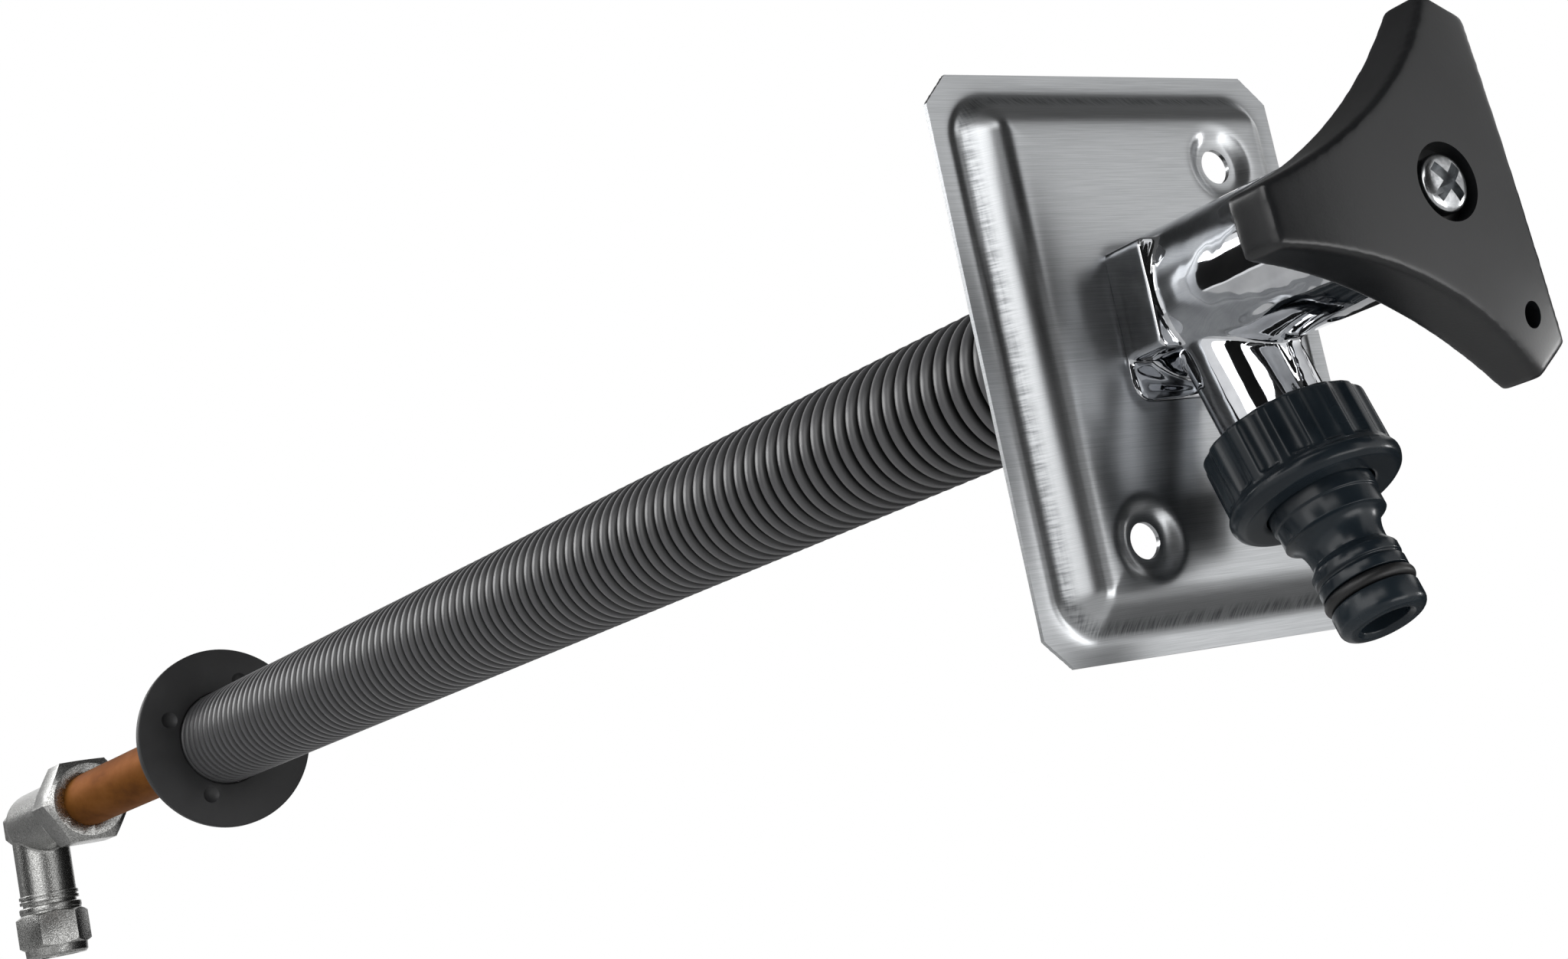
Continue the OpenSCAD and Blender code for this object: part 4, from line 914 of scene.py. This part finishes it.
# %% One rib
sleeve_low, sleeve_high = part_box("sleeve")
SLEEVE_R = (sleeve_high[0] - sleeve_low[0]) / 2 / MM
SLEEVE_FRONT = sleeve_low[1] / MM
RIBS, RIB_DEPTH, SLEEVE_BORE_R = 110, 2.0, 14.1
PITCH = (sleeve_high[1] - sleeve_low[1]) / MM / RIBS
# Each ring of a rib: its place along the pitch, and how much of the groove's depth it sinks.
RIB_RISE = [(0.0, 1.0), (0.1, 0.97), (0.14, 0.6), (0.19, 0.27), (0.29, 0.07)]
rib_fall = [(1 - place, sink) for place, sink in reversed(RIB_RISE)]
rib_outline = RIB_RISE + [(0.5, 0.0)] + rib_fall
select_only()
bpy.ops.mesh.primitive_circle_add(vertices=72, radius=(SLEEVE_R - RIB_DEPTH) * MM)
sleeve = named("ribbed_sleeve")
edit(sleeve)
for (place, sink), (next_place, next_sink) in zip(rib_outline, rib_outline[1:]):
    growth = (SLEEVE_R - next_sink * RIB_DEPTH) / (SLEEVE_R - sink * RIB_DEPTH)
    step = (0, 0, (next_place - place) * PITCH * MM)
    bpy.ops.mesh.extrude_region_move(TRANSFORM_OT_translate={"value": step})
    bpy.ops.transform.resize(value=(growth, growth, 1), center_override=(0, 0, 0))
bpy.ops.object.mode_set(mode="OBJECT")
print("pitch:", round(PITCH, 3), "mm")

# %% All ribs
apply_modifier(sleeve, "ARRAY", count=RIBS, use_relative_offset=False, use_constant_offset=True,
               constant_offset_displace=(0, 0, PITCH * MM), use_merge_vertices=True,
               merge_threshold=0.01 * MM)
edit(sleeve)
bpy.ops.mesh.select_all(action="DESELECT")
bpy.ops.mesh.select_non_manifold()
bpy.ops.mesh.extrude_region_move()
inward = SLEEVE_BORE_R / (SLEEVE_R - RIB_DEPTH)
bpy.ops.transform.resize(value=(inward, inward, 1), center_override=(0, 0, 0))
bpy.ops.mesh.bridge_edge_loops()
bpy.ops.mesh.select_all(action="SELECT")
bpy.ops.mesh.normals_make_consistent(inside=False)
put(sleeve, into_wall(SLEEVE_FRONT))
finish_piece(sleeve, "fixed", "sleeve", sleeve_plastic, 60)

# %% [markdown]
# ## Rear flange
# A soft disc slides along the sleeve to close the hole on the inside of the wall. It is turned
# with a hub behind it. Four shallow dimples for screws are pressed into its front by balls.

# %% Rear flange
FLANGE_FRONT, FLANGE_T, FLANGE_R, FLANGE_HOLE_R = 533, 3, 33, 17.07
HUB_R, HUB_END = 20, 9
flange_section = [(FLANGE_HOLE_R, 0), (FLANGE_R, 0), (FLANGE_R, FLANGE_T), (HUB_R, FLANGE_T),
                  (HUB_R, HUB_END), (FLANGE_HOLE_R, HUB_END)]
flange = turned("wall_flange", flange_section, 128, 0.6)
DIMPLE_REACH, DIMPLE_R, DIMPLE_DEPTH, FIRST_DIMPLE = 22, 3, 1.2, 24
ball_r = (DIMPLE_R ** 2 + DIMPLE_DEPTH ** 2) / (2 * DIMPLE_DEPTH)
for quarter in range(4):
    turn = math.radians(FIRST_DIMPLE + 90 * quarter)
    ball_place = (DIMPLE_REACH * math.cos(turn), DIMPLE_REACH * math.sin(turn), DIMPLE_DEPTH - ball_r)
    select_only()
    bpy.ops.mesh.primitive_uv_sphere_add(segments=48, ring_count=32, radius=ball_r * MM,
                                         location=[c * MM for c in ball_place])
    combine(flange, named("dimple_ball"))
put(flange, into_wall(FLANGE_FRONT))
finish_piece(flange, "flange", "rear_flange", flange_rubber)

# %% [markdown]
# ## Compression elbow
# The elbow is a second casting, so it is made as the body is: rods, a ball at the bend and an
# eight-sided boss at its back, one skin over them, and the bores drilled last. The shoulder and
# the two fine rings on the leg are turned faces, so they join after the skin and stay crisp.

# %% Elbow casting
ELBOW_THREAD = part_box("elbow_body")[0][1] / MM
THREAD_RUN, NECK_R, LEG_R, LEG_LEN = 11, 13.5, 12, 35
NECK_START = ELBOW_THREAD + THREAD_RUN
BOSS_SIDES, BOSS_AF, BOSS_PROUD = 8, 20, 4
half_side = math.pi / BOSS_SIDES
boss_place = into_wall(ELBOW_Y) @ Matrix.Rotation(half_side, 4, "Z")
boss_r = BOSS_AF / 2 / math.cos(half_side)
select_only()
bpy.ops.mesh.primitive_uv_sphere_add(segments=64, ring_count=32, radius=NECK_R * MM,
                                     location=(0, ELBOW_Y * MM, AXIS_Z * MM))
elbow = joined([
    named("bend"),
    rod(into_wall(NECK_START), NECK_R, ELBOW_Y - NECK_START),
    rod(boss_place, boss_r, NECK_R + BOSS_PROUD, BOSS_SIDES),
    rod(down_leg(0), LEG_R, LEG_LEN),
], "cast_elbow")
grow_skin(elbow, 0.45, 7)
print("elbow skin faces:", len(elbow.data.polygons))

# %% Turned faces of the elbow
ELBOW_THREAD_R, FACE_R, FACE_LINE_R, FACE_END = 14.3, 15.5, 14.8, 16
tube_end = turned("tube_end", [
    (0, 0), (ELBOW_THREAD_R, 0), (ELBOW_THREAD_R, THREAD_RUN), (FACE_R, THREAD_RUN),
    (FACE_R, 12.8), (FACE_LINE_R, 13.2), (FACE_LINE_R, 13.8), (FACE_R, 14.2),
    (FACE_R, FACE_END), (0, FACE_END)], 96, 0.2)
combine(elbow, put(tube_end, into_wall(ELBOW_THREAD)), "UNION")
RING_R, RING_FOOT_R, LEG_THREAD_R = 12.7, 11.6, 11.5
LEG_TURNED, LEG_END = 29, 48.8
leg_end = turned("leg_end", [
    (0, LEG_TURNED), (RING_FOOT_R, LEG_TURNED), (RING_FOOT_R, 31.4), (RING_R, 31.5), (RING_R, 32.8),
    (RING_FOOT_R, 32.9), (RING_FOOT_R, 33.6), (RING_R, 33.7), (RING_R, LEG_LEN),
    (LEG_THREAD_R, LEG_LEN), (LEG_THREAD_R, LEG_END), (0, LEG_END)], 96, 0.15)
combine(elbow, put(leg_end, down_leg(0)), "UNION")
print("elbow with turned faces, faces:", len(elbow.data.polygons))

# %% Bores of the elbow
TUBE_STOP = ELBOW_THREAD + 16
drill(
    elbow,
    tube_socket=(into_wall(ELBOW_THREAD - 1), 11.05, 18),
    neck_bore=(into_wall(TUBE_STOP), 8.5, ELBOW_Y - TUBE_STOP),
    leg_bore=(down_leg(0), 7.5, 40),
    pipe_socket=(down_leg(32), 9.05, 20),
)
finish_piece(elbow, "fixed", "elbow_body", cast_nickel, 45)


# %% [markdown]
# ## Compression nuts
# A nut is cut from hexagonal bar and chamfered on a lathe, which leaves a curved line on each
# flat. Here the bar is a six-sided cylinder, and what it shares with a turned blank is kept. The
# blank is a little wider than the bar's corners, so it only cuts them at its chamfers.

# %% Tool for hexagonal nuts
def corner_radius(across_flats):
    return across_flats / 2 / math.cos(math.radians(30))


def hex_nut(name, across_flats, height, blank, edge, turn=0):
    bar_turn = Matrix.Rotation(math.radians(90 + turn), 4, "Z")
    nut = rod(bar_turn, corner_radius(across_flats), height, 6, name)
    combine(nut, turned(name + "_blank", blank, 128, 0), "INTERSECT")
    apply_modifier(nut, "BEVEL", width=edge * MM, segments=2, limit_method="ANGLE",
                   angle_limit=math.radians(25))
    return nut


print("tool for hexagonal nuts")

# %% Tube nut
TUBE_NUT_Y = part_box("elbow_nut_large")[0][1] / MM
TUBE_NUT_AF, TUBE_NUT_H, TUBE_HOLE_R, TUBE_LIP_T, TUBE_THREAD_R = 33.5, 20, 11.05, 4, 14.35
BLANK_ROOM = 0.1
blank_r = corner_radius(TUBE_NUT_AF) + BLANK_ROOM
tube_nut = hex_nut("tube_nut", TUBE_NUT_AF, TUBE_NUT_H, [
    (TUBE_HOLE_R, 0), (15.2, 0), (15.6, 0.5), (blank_r, 3.0),
    (blank_r, TUBE_NUT_H - 2), (blank_r - 3, TUBE_NUT_H), (TUBE_THREAD_R, TUBE_NUT_H),
    (TUBE_THREAD_R, TUBE_LIP_T), (TUBE_HOLE_R, TUBE_LIP_T)], 0.3)
put(tube_nut, into_wall(TUBE_NUT_Y))
finish_piece(tube_nut, "fixed", "elbow_nut_large", cast_nickel, 30)

# %% Supply nut
SUPPLY_NUT_TOP, SUPPLY_NUT_AF, SUPPLY_NUT_H, SUPPLY_TURN = 36.5, 27, 22.5, 8
SUPPLY_THREAD_R, SUPPLY_THREAD_END, PIPE_HOLE_R = 11.55, 18.5, 9.05
blank_r = corner_radius(SUPPLY_NUT_AF) + BLANK_ROOM
top_collar = [(12.9, 0), (13.3, 0.4), (13.3, 2.2), (13.0, 2.6), (13.0, 3.2)]
flats = [(blank_r, 4.8), (blank_r, 16.8)]
low_collar = [(13.4, 18.2), (13.2, 21.4), (12.2, SUPPLY_NUT_H)]
supply_bore = [(PIPE_HOLE_R, SUPPLY_NUT_H), (PIPE_HOLE_R, SUPPLY_THREAD_END),
               (SUPPLY_THREAD_R, SUPPLY_THREAD_END)]
supply_blank = [(SUPPLY_THREAD_R, 0)] + top_collar + flats + low_collar + supply_bore
supply_nut = hex_nut("supply_nut", SUPPLY_NUT_AF, SUPPLY_NUT_H, supply_blank, 0.25, SUPPLY_TURN)
put(supply_nut, down_leg(SUPPLY_NUT_TOP))
finish_piece(supply_nut, "fixed", "elbow_nut_small", cast_nickel, 30)
